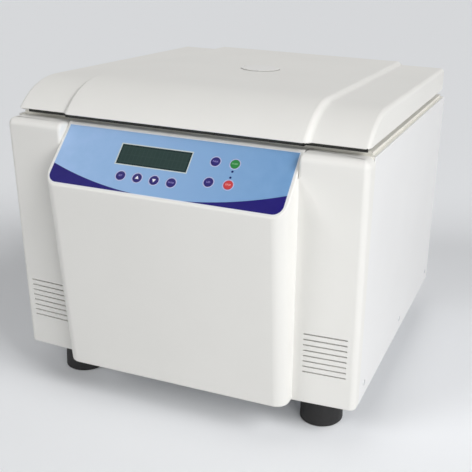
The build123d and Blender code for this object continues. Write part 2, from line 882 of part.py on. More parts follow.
with BuildPart() as lid_hook:
    block(
        (-hook_width / 2, hook_width / 2),
        (hook_y - hook_sheet / 2, hook_y + hook_sheet / 2),
        (hook_low_z, lid_z - hook_foot),
    )
    chamfer(lid_hook.edges().filter_by(Axis.X).group_by(Axis.Z)[0], hook_sheet / 4)
    block(
        (-hook_width / 2 - hook_sheet, hook_width / 2 + hook_sheet),
        (hook_y - 2 * hook_sheet, hook_y + 2 * hook_sheet),
        (lid_z - hook_foot, lid_z),
    )
    block(
        (-hook_eye_width / 2, hook_eye_width / 2),
        (hook_y - hook_sheet, hook_y + hook_sheet),
        (hook_low_z + hook_eye_low, hook_low_z + hook_eye_low + hook_eye_height),
        mode=Mode.SUBTRACT,
    )
lid_hook.part.label = "lid_hook"
export_step(lid_hook.part, "parts/lid_hook.step")

# ------------------------------------------------------------------ hinges
middle_knuckle = hinge_length / 4 - hinge_gap / 2  # half the length of the lid's knuckle
side_knuckle = (middle_knuckle + hinge_gap, hinge_length / 2)
leaf_edge_y = hinge_y - hinge_knuckle - hinge_gap
leaf_front_y = hinge_y - hinge_leaf_depth
with BuildPart() as hinge_brackets:
    for side in (-1, 1):
        hinge_x = side * hinge_spread
        block(
            (hinge_x - hinge_length / 2, hinge_x + hinge_length / 2),
            (leaf_front_y, leaf_edge_y),
            (top_z, top_z + hinge_leaf),
        )
        for end in (-1, 1):
            knuckle_x = sorted((hinge_x + end * side_knuckle[0], hinge_x + end * side_knuckle[1]))
            block(knuckle_x, (leaf_edge_y, hinge_y), (top_z, top_z + hinge_leaf))
            with Locations((sum(knuckle_x) / 2, hinge_y, hinge_z)):
                Cylinder(hinge_knuckle, knuckle_x[1] - knuckle_x[0], rotation=(0, 90, 0))
        with Locations((hinge_x, hinge_y, hinge_z)):
            Cylinder(
                hinge_pin_radius + hinge_pin_fit,
                hinge_length,
                rotation=(0, 90, 0),
                mode=Mode.SUBTRACT,
            )
hinge_brackets.part.label = "hinge_brackets"
export_step(hinge_brackets.part, "parts/hinge_brackets.step")

with BuildPart() as hinge_arms:
    for side in (-1, 1):
        hinge_x = side * hinge_spread
        block(
            (hinge_x - hinge_length / 2, hinge_x + hinge_length / 2),
            (leaf_front_y, leaf_edge_y),
            (lid_z - hinge_leaf, lid_z),
        )
        block(
            (hinge_x - middle_knuckle, hinge_x + middle_knuckle),
            (leaf_edge_y, hinge_y),
            (lid_z - hinge_leaf, lid_z),
        )
        with Locations((hinge_x, hinge_y, hinge_z)):
            Cylinder(hinge_knuckle, 2 * middle_knuckle, rotation=(0, 90, 0))
            Cylinder(
                hinge_pin_radius + hinge_pin_fit,
                2 * middle_knuckle,
                rotation=(0, 90, 0),
                mode=Mode.SUBTRACT,
            )
hinge_arms.part.label = "hinge_arms"
export_step(hinge_arms.part, "parts/hinge_arms.step")

with BuildPart() as hinge_pins:
    with Locations(*[(side * hinge_spread, hinge_y, hinge_z) for side in (-1, 1)]):
        Cylinder(hinge_pin_radius, hinge_length, rotation=(0, 90, 0))
hinge_pins.part.label = "hinge_pins"
export_step(hinge_pins.part, "parts/hinge_pins.step")

# ------------------------------------------------------------------ lock
pawl_y = hook_y + pawl_pivot_back
pawl_z = hook_low_z + hook_eye_low + pawl_play - pawl_arm
release = radians(pawl_release)
cheek_x = hook_width / 2 + cheek_gap + cheek_side_room
lock_floor_z = pawl_z - pawl_boss - lock_floor_room
lock_y = (
    hook_y - hook_sheet / 2 - hook_slot_room - cheek_sheet,
    pawl_y + pawl_boss + lock_back_room,
)
tail_y = pawl_y - (pawl_tail - pawl_tail_grip) * cos(release) - pawl_boss / 4
pawl_plane = Plane(
    origin=(0, pawl_y, pawl_z), x_dir=(0, cos(release), -sin(release)), z_dir=(1, 0, 0)
)

with BuildPart() as lock_body:
    for side in (-1, 1):
        block(
            sorted((side * cheek_x, side * (cheek_x + cheek_sheet))),
            lock_y,
            (lock_floor_z, deck_low_z),
        )
        block(
            sorted((side * cheek_x, side * (cheek_x + cheek_sheet + lock_flange))),
            lock_y,
            (deck_low_z - cheek_sheet, deck_low_z),
        )
    block((-cheek_x, cheek_x), lock_y, (lock_floor_z, lock_floor_z + cheek_sheet))
    peg(
        0,
        tail_y,
        lock_floor_z - overcut,
        pawl_z - pawl_boss,
        plunger_radius + plunger_fit,
        mode=Mode.SUBTRACT,
    )
    with Locations((0, pawl_y, pawl_z)):
        Cylinder(pawl_pivot_radius, 2 * cheek_x, rotation=(0, 90, 0))
lock_body.part.label = "lock_body"
export_step(lock_body.part, "parts/lock_body.step")

with BuildPart() as latch_pawl:
    with BuildSketch(pawl_plane):
        with Locations((0, (pawl_arm + pawl_nose_height) / 2)):
            Rectangle(1.4 * pawl_boss, pawl_arm + pawl_nose_height)
        with Locations((-pawl_nose / 2, pawl_arm + pawl_nose_height / 2)):
            Rectangle(pawl_nose, pawl_nose_height)
        with Locations((-pawl_tail / 2, -pawl_boss / 8)):
            Rectangle(pawl_tail, pawl_boss)
    extrude(amount=pawl_width / 2, both=True)
    with BuildSketch(pawl_plane):
        Circle(pawl_boss)
    extrude(amount=cheek_x - cheek_gap, both=True)
    with BuildSketch(pawl_plane):
        Circle(pawl_pivot_radius + pawl_fit)
    extrude(amount=cheek_x, both=True, mode=Mode.SUBTRACT)
latch_pawl.part.label = "latch_pawl"
export_step(latch_pawl.part, "parts/latch_pawl.step")

plunger_low_z = lock_floor_z - solenoid_height / 2
plunger_shoulder_z = lock_floor_z + cheek_sheet + plunger_shoulder
plunger_top_z = pawl_z - plunger_gap - 2 * plunger_fit
with BuildPart() as lock_solenoid:
    block(
        (-solenoid_size / 2, solenoid_size / 2),
        (tail_y - solenoid_size / 2, tail_y + solenoid_size / 2),
        (lock_floor_z - solenoid_height, lock_floor_z),
    )
    peg(
        0,
        tail_y,
        plunger_low_z - pawl_tail / 2,
        lock_floor_z + overcut,
        plunger_radius + plunger_fit,
        mode=Mode.SUBTRACT,
    )
lock_solenoid.part.label = "lock_solenoid"
export_step(lock_solenoid.part, "parts/lock_solenoid.step")

with BuildPart() as solenoid_plunger:
    peg(0, tail_y, plunger_low_z, plunger_shoulder_z, plunger_radius)
    peg(0, tail_y, plunger_shoulder_z, plunger_top_z, plunger_tip_radius)
solenoid_plunger.part.label = "solenoid_plunger"
export_step(solenoid_plunger.part, "parts/solenoid_plunger.step")

# ------------------------------------------------------------------ chamber
bowl_top_z = rim_z + bowl_wall
with BuildPart() as chamber_bowl:
    peg(0, rotor_y, bowl_floor_z, bowl_top_z, bowl_radius + bowl_wall)
    fillet(chamber_bowl.edges().group_by(Axis.Z)[0], bowl_corner)
    offset(amount=-bowl_wall, openings=chamber_bowl.faces().sort_by(Axis.Z)[-1])
    with BuildSketch(spin_plane):
        ring(bowl_radius + bowl_wall / 2, bowl_radius + bowl_rim, rim_z, bowl_top_z)
        ring(
            bowl_hub_hole,
            bowl_hub_hole + bowl_wall,
            bowl_floor_z + bowl_wall / 2,
            bowl_floor_z + bowl_wall + bowl_hub_rise,
        )
    revolve(axis=spin_axis)
    peg(
        0,
        rotor_y,
        bowl_floor_z - overcut,
        bowl_floor_z + bowl_wall + overcut,
        bowl_hub_hole,
        mode=Mode.SUBTRACT,
    )
chamber_bowl.part.label = "chamber_bowl"
export_step(chamber_bowl.part, "parts/chamber_bowl.step")

with BuildPart() as chamber_seal:
    with BuildSketch(spin_plane):
        ring(
            bowl_radius + bowl_wall,
            bowl_radius + bowl_wall + seal_width,
            bowl_top_z,
            lid_z - seal_clearance,
        )
    revolve(axis=spin_axis)
chamber_seal.part.label = "chamber_seal"
export_step(chamber_seal.part, "parts/chamber_seal.step")

with BuildPart() as guard_ring:
    with BuildSketch(spin_plane):
        ring(ring_radius - ring_wall, ring_radius, floor_z, deck_low_z - ring_headroom)
    revolve(axis=spin_axis)
guard_ring.part.label = "guard_ring"
export_step(guard_ring.part, "parts/guard_ring.step")

# ------------------------------------------------------------------ motor
motor_low_z = base_z + motor_low
bearing_inset = 2.0
cap_thickness = bearing_width + 2 * bearing_inset
with BuildPart() as motor_housing:
    with BuildSketch(spin_plane):
        ring(0, motor_radius, motor_low_z, motor_top_z)
        with BuildSketch(mode=Mode.SUBTRACT):
            ring(0, stator_bore, motor_low_z + cap_thickness, motor_top_z - cap_thickness)
            ring(
                0,
                bearing_radius + shaft_fit,
                motor_low_z + bearing_inset,
                motor_top_z - bearing_inset,
            )
            ring(0, bearing_radius - bearing_inset, motor_low_z + bearing_inset / 2, motor_top_z)
    revolve(axis=spin_axis)
    fillet(motor_housing.edges().group_by(Axis.Z)[0], bearing_inset)
motor_housing.part.label = "motor_housing"
export_step(motor_housing.part, "parts/motor_housing.step")

bearing_lows = (motor_low_z + bearing_inset, motor_top_z - bearing_inset - bearing_width)
with BuildPart() as motor_bearings:
    with BuildSketch(spin_plane):
        for bearing_low in bearing_lows:
            ring(
                shaft_radius + shaft_fit,
                bearing_radius,
                bearing_low,
                bearing_low + bearing_width,
            )
    revolve(axis=spin_axis)
motor_bearings.part.label = "motor_bearings"
export_step(motor_bearings.part, "parts/motor_bearings.step")

with BuildPart() as motor_plate:
    with BuildSketch(Plane(origin=(0, rotor_y, motor_top_z))) as plate_outline:
        Rectangle(motor_plate_size, motor_plate_size)
        fillet(plate_outline.vertices(), damper_radius)
        Circle(bearing_radius, mode=Mode.SUBTRACT)
    extrude(amount=motor_plate_thickness)
motor_plate.part.label = "motor_plate"
export_step(motor_plate.part, "parts/motor_plate.step")

with BuildPart() as vibration_dampers:
    with BuildSketch(Plane(origin=(0, rotor_y, motor_top_z - damper_height))):
        with GridLocations(damper_spacing, damper_spacing, 2, 2):
            Circle(damper_radius)
    extrude(amount=damper_height)
vibration_dampers.part.label = "vibration_dampers"
export_step(vibration_dampers.part, "parts/vibration_dampers.step")

# ------------------------------------------------------------------ rotor
hub_top_z = pivot_z + rotor_hub_height
carrier_half = slide_length / 2 + slide_room + carrier_sheet
pocket_half = carrier_half + pocket_gap
with BuildPart() as drive_shaft:
    with BuildSketch(spin_plane):
        ring(0, shaft_radius, motor_low_z + bearing_inset, hub_top_z + nut_height - bearing_inset)
        ring(
            0,
            armature_radius,
            motor_low_z + cap_thickness + bearing_inset,
            motor_top_z - cap_thickness - bearing_inset,
        )
    revolve(axis=spin_axis)
drive_shaft.part.label = "drive_shaft"
export_step(drive_shaft.part, "parts/drive_shaft.step")

with BuildPart(rotor_plane) as rotor_head:
    with BuildSketch(rotor_plane.offset(-rotor_thickness / 2)):
        Circle(rotor_radius)
        pocket_reach = rotor_radius - pocket_root + pocket_gap
        with PolarLocations(pocket_root + pocket_reach / 2, carrier_count):
            Rectangle(pocket_reach, 2 * pocket_half, mode=Mode.SUBTRACT)
    extrude(amount=rotor_thickness)
    with BuildSketch(rotor_plane):
        Circle(rotor_hub_radius)
    extrude(amount=rotor_hub_height)
    slot_half = trunnion_radius + trunnion_fit
    notch_length = trunnion_length + trunnion_fit
    for side in (-1, 1):
        with PolarLocations(pivot_radius, carrier_count):
            with Locations((0, side * (carrier_half + notch_length / 2 + slide_room / 2), 0)):
                Cylinder(
                    slot_half, notch_length + slide_room, rotation=(90, 0, 0), mode=Mode.SUBTRACT
                )
                Box(
                    2 * slot_half,
                    notch_length + slide_room,
                    rotor_thickness,
                    align=(Align.CENTER, Align.CENTER, Align.MIN),
                    mode=Mode.SUBTRACT,
                )
    with BuildSketch(rotor_plane.offset(-rotor_thickness)):
        Circle(shaft_radius + shaft_fit)
    extrude(amount=2 * rotor_thickness + rotor_hub_height, mode=Mode.SUBTRACT)
rotor_head.part.label = "rotor_head"
export_step(rotor_head.part, "parts/rotor_head.step")

with BuildPart() as rotor_nut:
    with BuildSketch(Plane(origin=(0, rotor_y, hub_top_z))):
        Circle(nut_radius)
        with PolarLocations(nut_radius + bearing_inset, nut_flutes):
            Circle(nut_radius / 4, mode=Mode.SUBTRACT)
    extrude(amount=nut_height)
    with BuildSketch(Plane(origin=(0, rotor_y, hub_top_z))):
        Circle(shaft_radius + shaft_fit)
    extrude(amount=nut_height - bearing_inset + shaft_fit, mode=Mode.SUBTRACT)
rotor_nut.part.label = "rotor_nut"
export_step(rotor_nut.part, "parts/rotor_nut.step")

# ------------------------------------------------------------------ carriers
arm_top = 2 * trunnion_radius
slide_low = tray_thickness - carrier_drop
foot_low = slide_low + slide_thickness
cup_low = foot_low + funnel_foot_thickness
grounded = (Align.CENTER, Align.CENTER, Align.MIN)
for number in range(carrier_count):
    turn = radians(360 / carrier_count * number)
    radial = (cos(turn), sin(turn), 0)
    carrier_plane = Plane(
        origin=(pivot_radius * cos(turn), rotor_y + pivot_radius * sin(turn), pivot_z),
        x_dir=radial,
        z_dir=(0, 0, 1),
    )
    with BuildPart(carrier_plane) as carrier_frame:
        with Locations((0, 0, -carrier_drop)):
            Box(tray_depth, 2 * carrier_half, tray_thickness, align=grounded)
        for side in (-1, 1):
            with Locations((0, side * (carrier_half - carrier_sheet / 2), -carrier_drop)):
                Box(carrier_arm_width, carrier_sheet, carrier_drop + arm_top, align=grounded)
            with Locations((0, side * (carrier_half + trunnion_length / 2 - carrier_sheet / 2), 0)):
                Cylinder(trunnion_radius, trunnion_length + carrier_sheet, rotation=(90, 0, 0))
            with Locations((side * (tray_depth - carrier_sheet) / 2, 0, -carrier_drop)):
                Box(
                    carrier_sheet,
                    2 * carrier_half,
                    tray_thickness + tray_lip,
                    align=grounded,
                )
    carrier_frame.part.label = f"carrier_frame_{number + 1}"
    export_step(carrier_frame.part, f"parts/carrier_frame_{number + 1}.step")

    with BuildPart(carrier_plane) as glass_slide:
        with Locations((0, 0, slide_low)):
            Box(slide_width, slide_length, slide_thickness, align=grounded)
    glass_slide.part.label = f"glass_slide_{number + 1}"
    export_step(glass_slide.part, f"parts/glass_slide_{number + 1}.step")

    with BuildPart(carrier_plane) as sample_funnel:
        with Locations((0, 0, foot_low)):
            Box(funnel_foot_width, funnel_foot_length, funnel_foot_thickness, align=grounded)
            Cylinder(cup_radius, cup_top - foot_low, align=grounded)
        with Locations((0, 0, cup_top - 2 * cup_flange)):
            Cylinder(cup_radius + cup_flange, 2 * cup_flange, align=grounded)
        with Locations((0, 0, foot_low)):
            Cylinder(
                outlet_radius, cup_top - foot_low, align=grounded, mode=Mode.SUBTRACT
            )
        with Locations((0, 0, cup_low)):
            Cylinder(cup_bore, cup_top - cup_low, align=grounded, mode=Mode.SUBTRACT)
    sample_funnel.part.label = f"sample_funnel_{number + 1}"
    export_step(sample_funnel.part, f"parts/sample_funnel_{number + 1}.step")

# ------------------------------------------------------------------ fan
fan_plane = Plane(
    origin=(fan_x, rear_panel_y - sheet, base_z + fan_height), x_dir=(1, 0, 0), z_dir=(0, -1, 0)
)
with BuildPart(fan_plane) as fan_frame:
    Box(fan_size, fan_size, fan_depth, align=grounded)
    Cylinder(fan_bore, fan_depth, align=grounded, mode=Mode.SUBTRACT)
    Cylinder(fan_hub, fan_strut, align=grounded)
    Box(2 * fan_bore + fan_strut, fan_strut, fan_strut, align=grounded)
    Box(fan_strut, 2 * fan_bore + fan_strut, fan_strut, align=grounded)
    Cylinder(fan_spindle, fan_depth - fan_strut, align=grounded)
fan_frame.part.label = "fan_frame"
export_step(fan_frame.part, "parts/fan_frame.step")

with BuildPart(fan_plane) as fan_impeller:
    blade_tip = fan_bore - fan_blade_gap
    with Locations((0, 0, fan_strut + fan_blade_gap / 3)):
        Cylinder(fan_hub, fan_depth - fan_strut - fan_blade_gap, align=grounded)
    with Locations((0, 0, (fan_depth + fan_strut) / 2)):
        with PolarLocations((blade_tip + fan_hub - fan_blade_root) / 2, fan_blades):
            Box(
                blade_tip - fan_hub + fan_blade_root,
                fan_blade_sheet,
                fan_blade_chord,
                rotation=(fan_blade_pitch, 0, 0),
            )
    Cylinder(
        fan_spindle + fan_spindle_fit, 2 * fan_depth, align=grounded, mode=Mode.SUBTRACT
    )
fan_impeller.part.label = "fan_impeller"
export_step(fan_impeller.part, "parts/fan_impeller.step")

# ------------------------------------------------------------------ mains inlet and power switch
hung = (Align.CENTER, Align.CENTER, Align.MAX)
inlet_plane = Plane(
    origin=(inlet_x, rear_panel_y, base_z + inlet_height), x_dir=(-1, 0, 0), z_dir=(0, 1, 0)
)
with BuildPart(inlet_plane) as power_inlet:
    Box(inlet_width, inlet_tall, inlet_depth, align=hung)
    Box(
        inlet_width + 2 * inlet_flange,
        inlet_tall + inlet_flange,
        inlet_flange_thickness,
        align=grounded,
    )
    with Locations((0, 0, inlet_flange_thickness)):
        Box(socket_width, socket_tall, socket_depth, align=hung, mode=Mode.SUBTRACT)
    socket_floor = inlet_flange_thickness - socket_depth
    with Locations(
        (-pin_spread, pin_rise, socket_floor),
        (pin_spread, pin_rise, socket_floor),
        (0, pin_rise + pin_height, socket_floor),
    ):
        Box(pin_thickness, pin_height, socket_depth - pin_thickness, align=grounded)
power_inlet.part.label = "power_inlet"
export_step(power_inlet.part, "parts/power_inlet.step")

switch_plane = Plane(
    origin=(switch_x, rear_panel_y, base_z + switch_rise), x_dir=(-1, 0, 0), z_dir=(0, 1, 0)
)
with BuildPart(switch_plane) as switch_frame:
    Box(switch_body_width, switch_body_length, switch_depth, align=hung)
    Box(
        switch_body_width + 2 * rocker_rim,
        switch_body_length + 2 * rocker_rim,
        switch_flange,
        align=grounded,
    )
    with Locations((0, 0, switch_flange)):
        Box(
            rocker_width + 2 * rocker_fit,
            rocker_length + 2 * rocker_fit,
            switch_depth,
            align=hung,
            mode=Mode.SUBTRACT,
        )
    with Locations((0, 0, -rocker_pivot_depth)):
        Cylinder(rocker_pivot_radius, rocker_width + 3 * rocker_fit, rotation=(0, 90, 0))
switch_frame.part.label = "switch_frame"
export_step(switch_frame.part, "parts/switch_frame.step")

rocker_plane = switch_plane.offset(-rocker_pivot_depth).rotated((rocker_throw, 0, 0))
rocker_half = rocker_length / 2 - rocker_end_room
rocker_side_plane = Plane(
    origin=rocker_plane.origin, x_dir=rocker_plane.y_dir, z_dir=rocker_plane.x_dir
)
with BuildPart() as switch_rocker:
    with BuildSketch(rocker_side_plane):
        with BuildLine():
            Polyline(
                (-rocker_foot_half, -rocker_foot),
                (rocker_foot_half, -rocker_foot),
                (rocker_half, rocker_tip),
                (0, rocker_saddle),
                (-rocker_half, rocker_tip),
                close=True,
            )
        make_face()
        Circle(rocker_pivot_radius + rocker_pivot_fit, mode=Mode.SUBTRACT)
    extrude(amount=rocker_width / 2, both=True)
switch_rocker.part.label = "switch_rocker"
export_step(switch_rocker.part, "parts/switch_rocker.step")

# ------------------------------------------------------------------ power board
with BuildPart() as power_board:
    board_y = (seam_y + power_board_front, seam_y + power_board_front + power_board_width)
    board_low_z = floor_z + power_board_stand
    board_top_z = board_low_z + board_thickness
    block((-power_board_half, power_board_half), board_y, (board_low_z, board_top_z))
    for x in (-power_board_half + board_margin, power_board_half - board_margin):
        for y in (board_y[0] + board_margin, board_y[1] - board_margin):
            peg(x, y, floor_z, board_low_z, board_margin / 2)
    part_y = (board_y[0] + board_margin, board_y[1] - board_margin)
    block(coil_x, part_y, (board_top_z, board_top_z + coil_height))
    for x in capacitor_x:
        peg(x, sum(board_y) / 2, board_top_z, board_top_z + coil_height, capacitor_radius)
    block(relay_x, part_y, (board_top_z, board_top_z + relay_height))
power_board.part.label = "power_board"
export_step(power_board.part, "parts/power_board.step")

# ------------------------------------------------------------------ casing fasteners
with BuildPart() as casing_fasteners:
    for side in (-1, 1):
        for y, z in side_screw_spots:
            with Locations((side * (half_width + screw_head_height / 2), y, z)):
                Cylinder(screw_head_radius, screw_head_height, rotation=(0, 90, 0))
            with Locations((side * (half_width - screw_length / 2), y, z)):
                Cylinder(screw_radius, screw_length, rotation=(0, 90, 0))
        for z in rear_screw_heights:
            with Locations((side * rear_screw_x, back_y + screw_head_height / 2, z)):
                Cylinder(screw_head_radius, screw_head_height, rotation=(90, 0, 0))
            with Locations((side * rear_screw_x, back_y - screw_length / 2, z)):
                Cylinder(screw_radius, screw_length, rotation=(90, 0, 0))
    for x, y in foot_spots:
        peg(
            x,
            y,
            foot_bore_depth - foot_bolt_head_height,
            foot_bore_depth,
            foot_bolt_head_radius,
        )
        peg(x, y, foot_bore_depth, floor_z + foot_bolt_end, foot_bolt_radius)
    for x, y in foot_spots:
        with BuildSketch(Plane(origin=(x, y, floor_z))):
            RegularPolygon(foot_bolt_head_radius, 6)
            Circle(foot_bolt_radius + thread_clearance, mode=Mode.SUBTRACT)
        extrude(amount=foot_nut_height)
casing_fasteners.part.label = "casing_fasteners"
export_step(casing_fasteners.part, "parts/casing_fasteners.step")
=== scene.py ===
import json
from math import atan2, cos, radians, sin

import bmesh
import bpy
from mathutils import Matrix, Vector


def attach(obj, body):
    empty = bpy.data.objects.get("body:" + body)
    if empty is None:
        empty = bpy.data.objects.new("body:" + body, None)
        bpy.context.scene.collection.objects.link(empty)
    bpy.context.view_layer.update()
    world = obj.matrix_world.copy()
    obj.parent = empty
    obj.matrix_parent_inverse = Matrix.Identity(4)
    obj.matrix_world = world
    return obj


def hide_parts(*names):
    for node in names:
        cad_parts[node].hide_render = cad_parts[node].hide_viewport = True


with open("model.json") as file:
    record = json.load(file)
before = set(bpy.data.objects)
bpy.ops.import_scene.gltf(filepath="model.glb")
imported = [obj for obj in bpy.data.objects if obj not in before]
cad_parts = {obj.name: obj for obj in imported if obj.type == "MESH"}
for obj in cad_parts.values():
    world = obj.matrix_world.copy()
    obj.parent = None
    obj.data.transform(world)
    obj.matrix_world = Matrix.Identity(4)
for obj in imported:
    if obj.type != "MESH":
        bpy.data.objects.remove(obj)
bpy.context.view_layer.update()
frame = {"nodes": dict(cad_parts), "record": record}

MM = 0.001
X, Y, Z = 0, 1, 2

# ---------- sizes, in millimetres
# casing
HALF_WIDTH = 215
SEAM_Y = -173.75  # front moulding ahead of it, folded panels behind it
BACK_Y = 225.25
BASE_Z = 42
TOP_Z = 331
ROTOR_Y = 39.25

# lid moulding
LID_HALF = 209.8
LID_REAR_Y = 236.25
LID_RIM_Z = 339.7
LID_TOP_Z = 374.9
LID_WALL = 3
LID_STEP = 4.6  # raised middle above the sides
MIDDLE_TOP_HALF = 142.2
MIDDLE_FOOT_HALF = 146.8
ROLL_Y = -111.75  # axis of the roll down to the front rim
ROLL_RADIUS = 98
ROLL_STEPS = 36
LID_SPARE = 10  # below the roll's axis, cut off at the rim
LID_REAR_ROUND = 8
LID_SIDE_ROUND = 5
LID_STEP_ROUND = 2.4
LID_RIM_ROUND = 0.7

# port cap in the lid
PORT_SIDES = 96
PORT_RECESS_RADIUS = 25.2
PORT_RECESS_DEEP = 1.5
PORT_STEM_RADIUS = 20.2
PORT_CAP_RADIUS = 25
PORT_TOP_Z = 376.1
PORT_GAP_Z = 375.5
PORT_FOOT_Z = 373.4
PORT_GAP_DEEP = 1.4
PORT_ROUND = 0.35

# dark rubber strip under the lid's front rim: part seal, part painted shade standing in for the shade
# under the rim
STRIP_HEIGHT = 3.6
STRIP_GRIP = 0.3
STRIP_INSET = 2.4
# painted shade: the strip starts further in at the left end, where the shade under the rim starts
STRIP_START = 12  # further in at the left end
STRIP_THICK = 2
STRIP_FRONT_Y = -180.3
STRIP_STEP = 5.9
STRIP_ROUND = 0.3

# front moulding: console
MOULDING_WALL = 3
CONSOLE_HALF = 141.5
CONSOLE_BLANK_Y = -260
CONSOLE_FOOT_Y = -216.25
KNEE_Y = -236.25
KNEE_Z = 272.5
CONSOLE_CORNER = 15
CONSOLE_RIM_ROUND = 1.6
CONSOLE_FOOT_ROUND = 2.5
CONSOLE_TOP_ROUND = 1.2

# front moulding: wings
WING_BLANK_Y = -240
WING_FOOT_Y = SEAM_Y - 20
WING_TOP_Y = SEAM_Y - 26.5
WING_SWEEP = radians(3)
WING_CORNER = 7
WING_TOP_ROUND = 9
WING_FOOT_ROUND = 1.5
WING_OVERLAP = 0.1
WING_JOIN_ROUND = 1.5
GROOVE_FOOT_Z = 308
GROOVE_ROUND = 4
VENT_COUNT = 8
VENT_PITCH = 6.77
VENT_HEIGHT = 1.7
VENT_ROUND = VENT_HEIGHT * 0.49
VENT_LENGTH = 50.4
VENT_OUTER_INSET = 11.8
VENT_LOWEST = 82.4
VENT_REACH = (-225, SEAM_Y - 8)

# control face, which slopes back from the knee
SLOPE = radians(46.2)
PANEL_ORIGIN = (0, -182.23, 328.83)
PANEL_NORMAL = Vector((0, -sin(SLOPE), cos(SLOPE)))
PANEL_UP = Vector((0, cos(SLOPE), sin(SLOPE)))
PANEL_PLACE = Matrix.Translation(Vector(PANEL_ORIGIN) * MM) @ (
    Matrix(((1, 0, 0), PANEL_UP, PANEL_NORMAL)).transposed().to_4x4()
)
PANEL_BORE = (-8, 2)  # from under the moulding's wall to clear of it
OVERLAY_BORE = (-4, 2)

# overlay, display and lamps, measured across and down the control face
OVERLAY_HALF = 138.5
OVERLAY_LENGTH = 75.2
OVERLAY_CORNER = 12
OVERLAY_DEPTH = 0.8
OVERLAY_FIT = 0.15
OVERLAY_BORDER = 1.1
SWEEP_HEIGHT = 24.4
INK = 0.03
INK_FOOT = -0.02
INK_BLEED = 0.15
WINDOW_WIDTH = 86
WINDOW_HEIGHT = 25.8
WINDOW_X = -21.5
WINDOW_DROP = 29.1
PANE_TOP = -0.35
PANE_DEEP = 0.6
PANE_ROUND = 0.2
BEZEL_OUT = 0.5
BEZEL_IN = 0.7
CELL_WIDTH = 4.75
CELL_HEIGHT = 9.2
CELL_GAP = 0.45
CELL_MARGIN = 5
# painted shade: millimetres in from the window's edge over which the pane darkens
DISPLAY_SHADE_BAND = (1, 3.2)
LAMP_X = 71.6
LAMP_DROPS = (32.8, 39.9)
LAMP_BORE = 1.35

# keys, by how far across and down the control face they are
KEY_PLACES = {
    "key_set": (-52, 55.4),
    "key_up": (-31.8, 55.4),
    "key_down": (-11.6, 55.4),
    "key_enter": (8.6, 55.4),
    "key_pulse": (49.6, 23.8),
    "key_start": (71.9, 23.8),
    "key_lid": (49.6, 48.6),
    "key_stop": (71.9, 48.6),
}
KEY_RADIUS = 5.15
KEY_TALL = 4
KEY_PROUD = 0.5
KEY_DISH = 0.12
KEY_DISH_INSET = 1.4
KEY_DISH_AREA = 20
KEY_RIM = 0.35
KEY_RIM_ROUND = 0.3
KEY_BORE_FIT = 0.3
KEY_PRINT_FIT = 0.25
RING_RADIUS = 6.4
LEGEND_WEIGHT = 0.06
ARROW_RADIUS = 2.6
ARROW_ROUND = 0.35

# folded panels
SHEET = 1.5
PANEL_CORNER = 6
PANEL_FIT = 0.2
PANEL_EDGE = 0.5
REAR_EDGE = 0.3
RETURN_WIDTH = 14
LEDGE_WIDTH = 12
WELD = 0.5  # how far joined sheets run into each other
REAR_PANEL_Y = BACK_Y - SHEET
DECK_LOW_Z = TOP_Z - 3
LEDGE_Y = (SEAM_Y + MOULDING_WALL, REAR_PANEL_Y - SHEET)
FLOOR_Z = BASE_Z + 2
FAN_X = 118
FAN_Z = 134
GRILLE_SLOTS = 8
GRILLE_PITCH = 9
GRILLE_SLOT = 4
GRILLE_LENGTH = 62
GRILLE_ROUND = 1.2

# casing screws
SCREW_BORE = 2.2
BORE_LENGTH = 30
SCREW_RADIUS = 2
SCREW_HEAD_RADIUS = 3.5
SCREW_HEAD_HEIGHT = 0.8
SCREW_DOME = 0.64
SCREW_LENGTH = 8
CROSS_LENGTH = 3.6
CROSS_WIDTH = 0.9
CROSS_DEEP = 0.6
SIDE_SCREW_Z = 60
SIDE_SCREW_YS = (SEAM_Y + 20, (SEAM_Y + BACK_Y) / 2, BACK_Y - 20)
REAR_SCREW_X = HALF_WIDTH - RETURN_WIDTH / 2
REAR_SCREW_ZS = [BASE_Z + (TOP_Z - BASE_Z) * share for share in (0.15, 0.5, 0.85)]

# feet and their bolts
FOOT_SPOTS = [(x, y) for x in (-164, 164) for y in (SEAM_Y + 26, BACK_Y - 26)]
FOOT_HEIGHT = 42
FOOT_RADIUS = 26
FOOT_TAPER = 2
FOOT_SOLE_ROUND = 2
FOOT_TOP_ROUND = 0.8
WAIST_EDGES = (31, 32, 35, 36)
WAIST_SHRINK = 0.97
FOOT_BORE_RADIUS = 8
FOOT_BORE_DEPTH = 14
BOLT_RADIUS = 3
BOLT_FIT = 0.2
THREAD_FIT = 0.05
BOLT_HEAD_RADIUS = 6.5
BOLT_HEAD_HEIGHT = 4
BOLT_END = 8
BOLT_ROUND = 0.4
NUT_HEIGHT = 5
NUT_ROUND = 0.3

# mains inlet and power switch, on the rear panel
INLET_X = -120
INLET_Z = 88
INLET_WIDTH = 28
INLET_TALL = 22
INLET_DEPTH = 22
INLET_FLANGE = 10
INLET_RIM = 2.5
INLET_CORNER = 3
SOCKET_WIDTH = 24.5
SOCKET_TALL = 17
SOCKET_DEPTH = 16
SOCKET_CHAMFER = 4
PIN_SPREAD = 7
PIN_RISE = 0.5
PIN_THICK = 2
PIN_TALL = 4
PIN_ROUND = 0.4
SWITCH_Z = 138
SWITCH_BODY_WIDTH = 18
SWITCH_BODY_LENGTH = 27
SWITCH_DEPTH = 16
SWITCH_FLANGE = 2
SWITCH_CORNER = 1.6
RIM_ROUND = 0.6
BODY_OVERLAP = 0.5  # of a body into its flange
ROCKER_WIDTH = 13
ROCKER_LENGTH = 22
ROCKER_RIM = 2.5
ROCKER_FIT = 0.5
ROCKER_PIVOT = 3
ROCKER_AXLE = 1.5
ROCKER_THROW = radians(9)
ROCKER_HALF = ROCKER_LENGTH / 2 - 0.7
ROCKER_SADDLE = 4
ROCKER_TIP = 6
MARK_PLACE = 5.6
MARK_BAR = (0.35, 1.9)
MARK_RING = (1.4, 2.1)


# ---------- workshop
def near(a, b, slack=0.02):
    """Whether a length in metres is the given millimetres."""
    return abs(a / MM - b) < slack


def around(middle, half):
    """Both ends of a stretch, from its middle and half its length."""
    return middle - half, middle + half


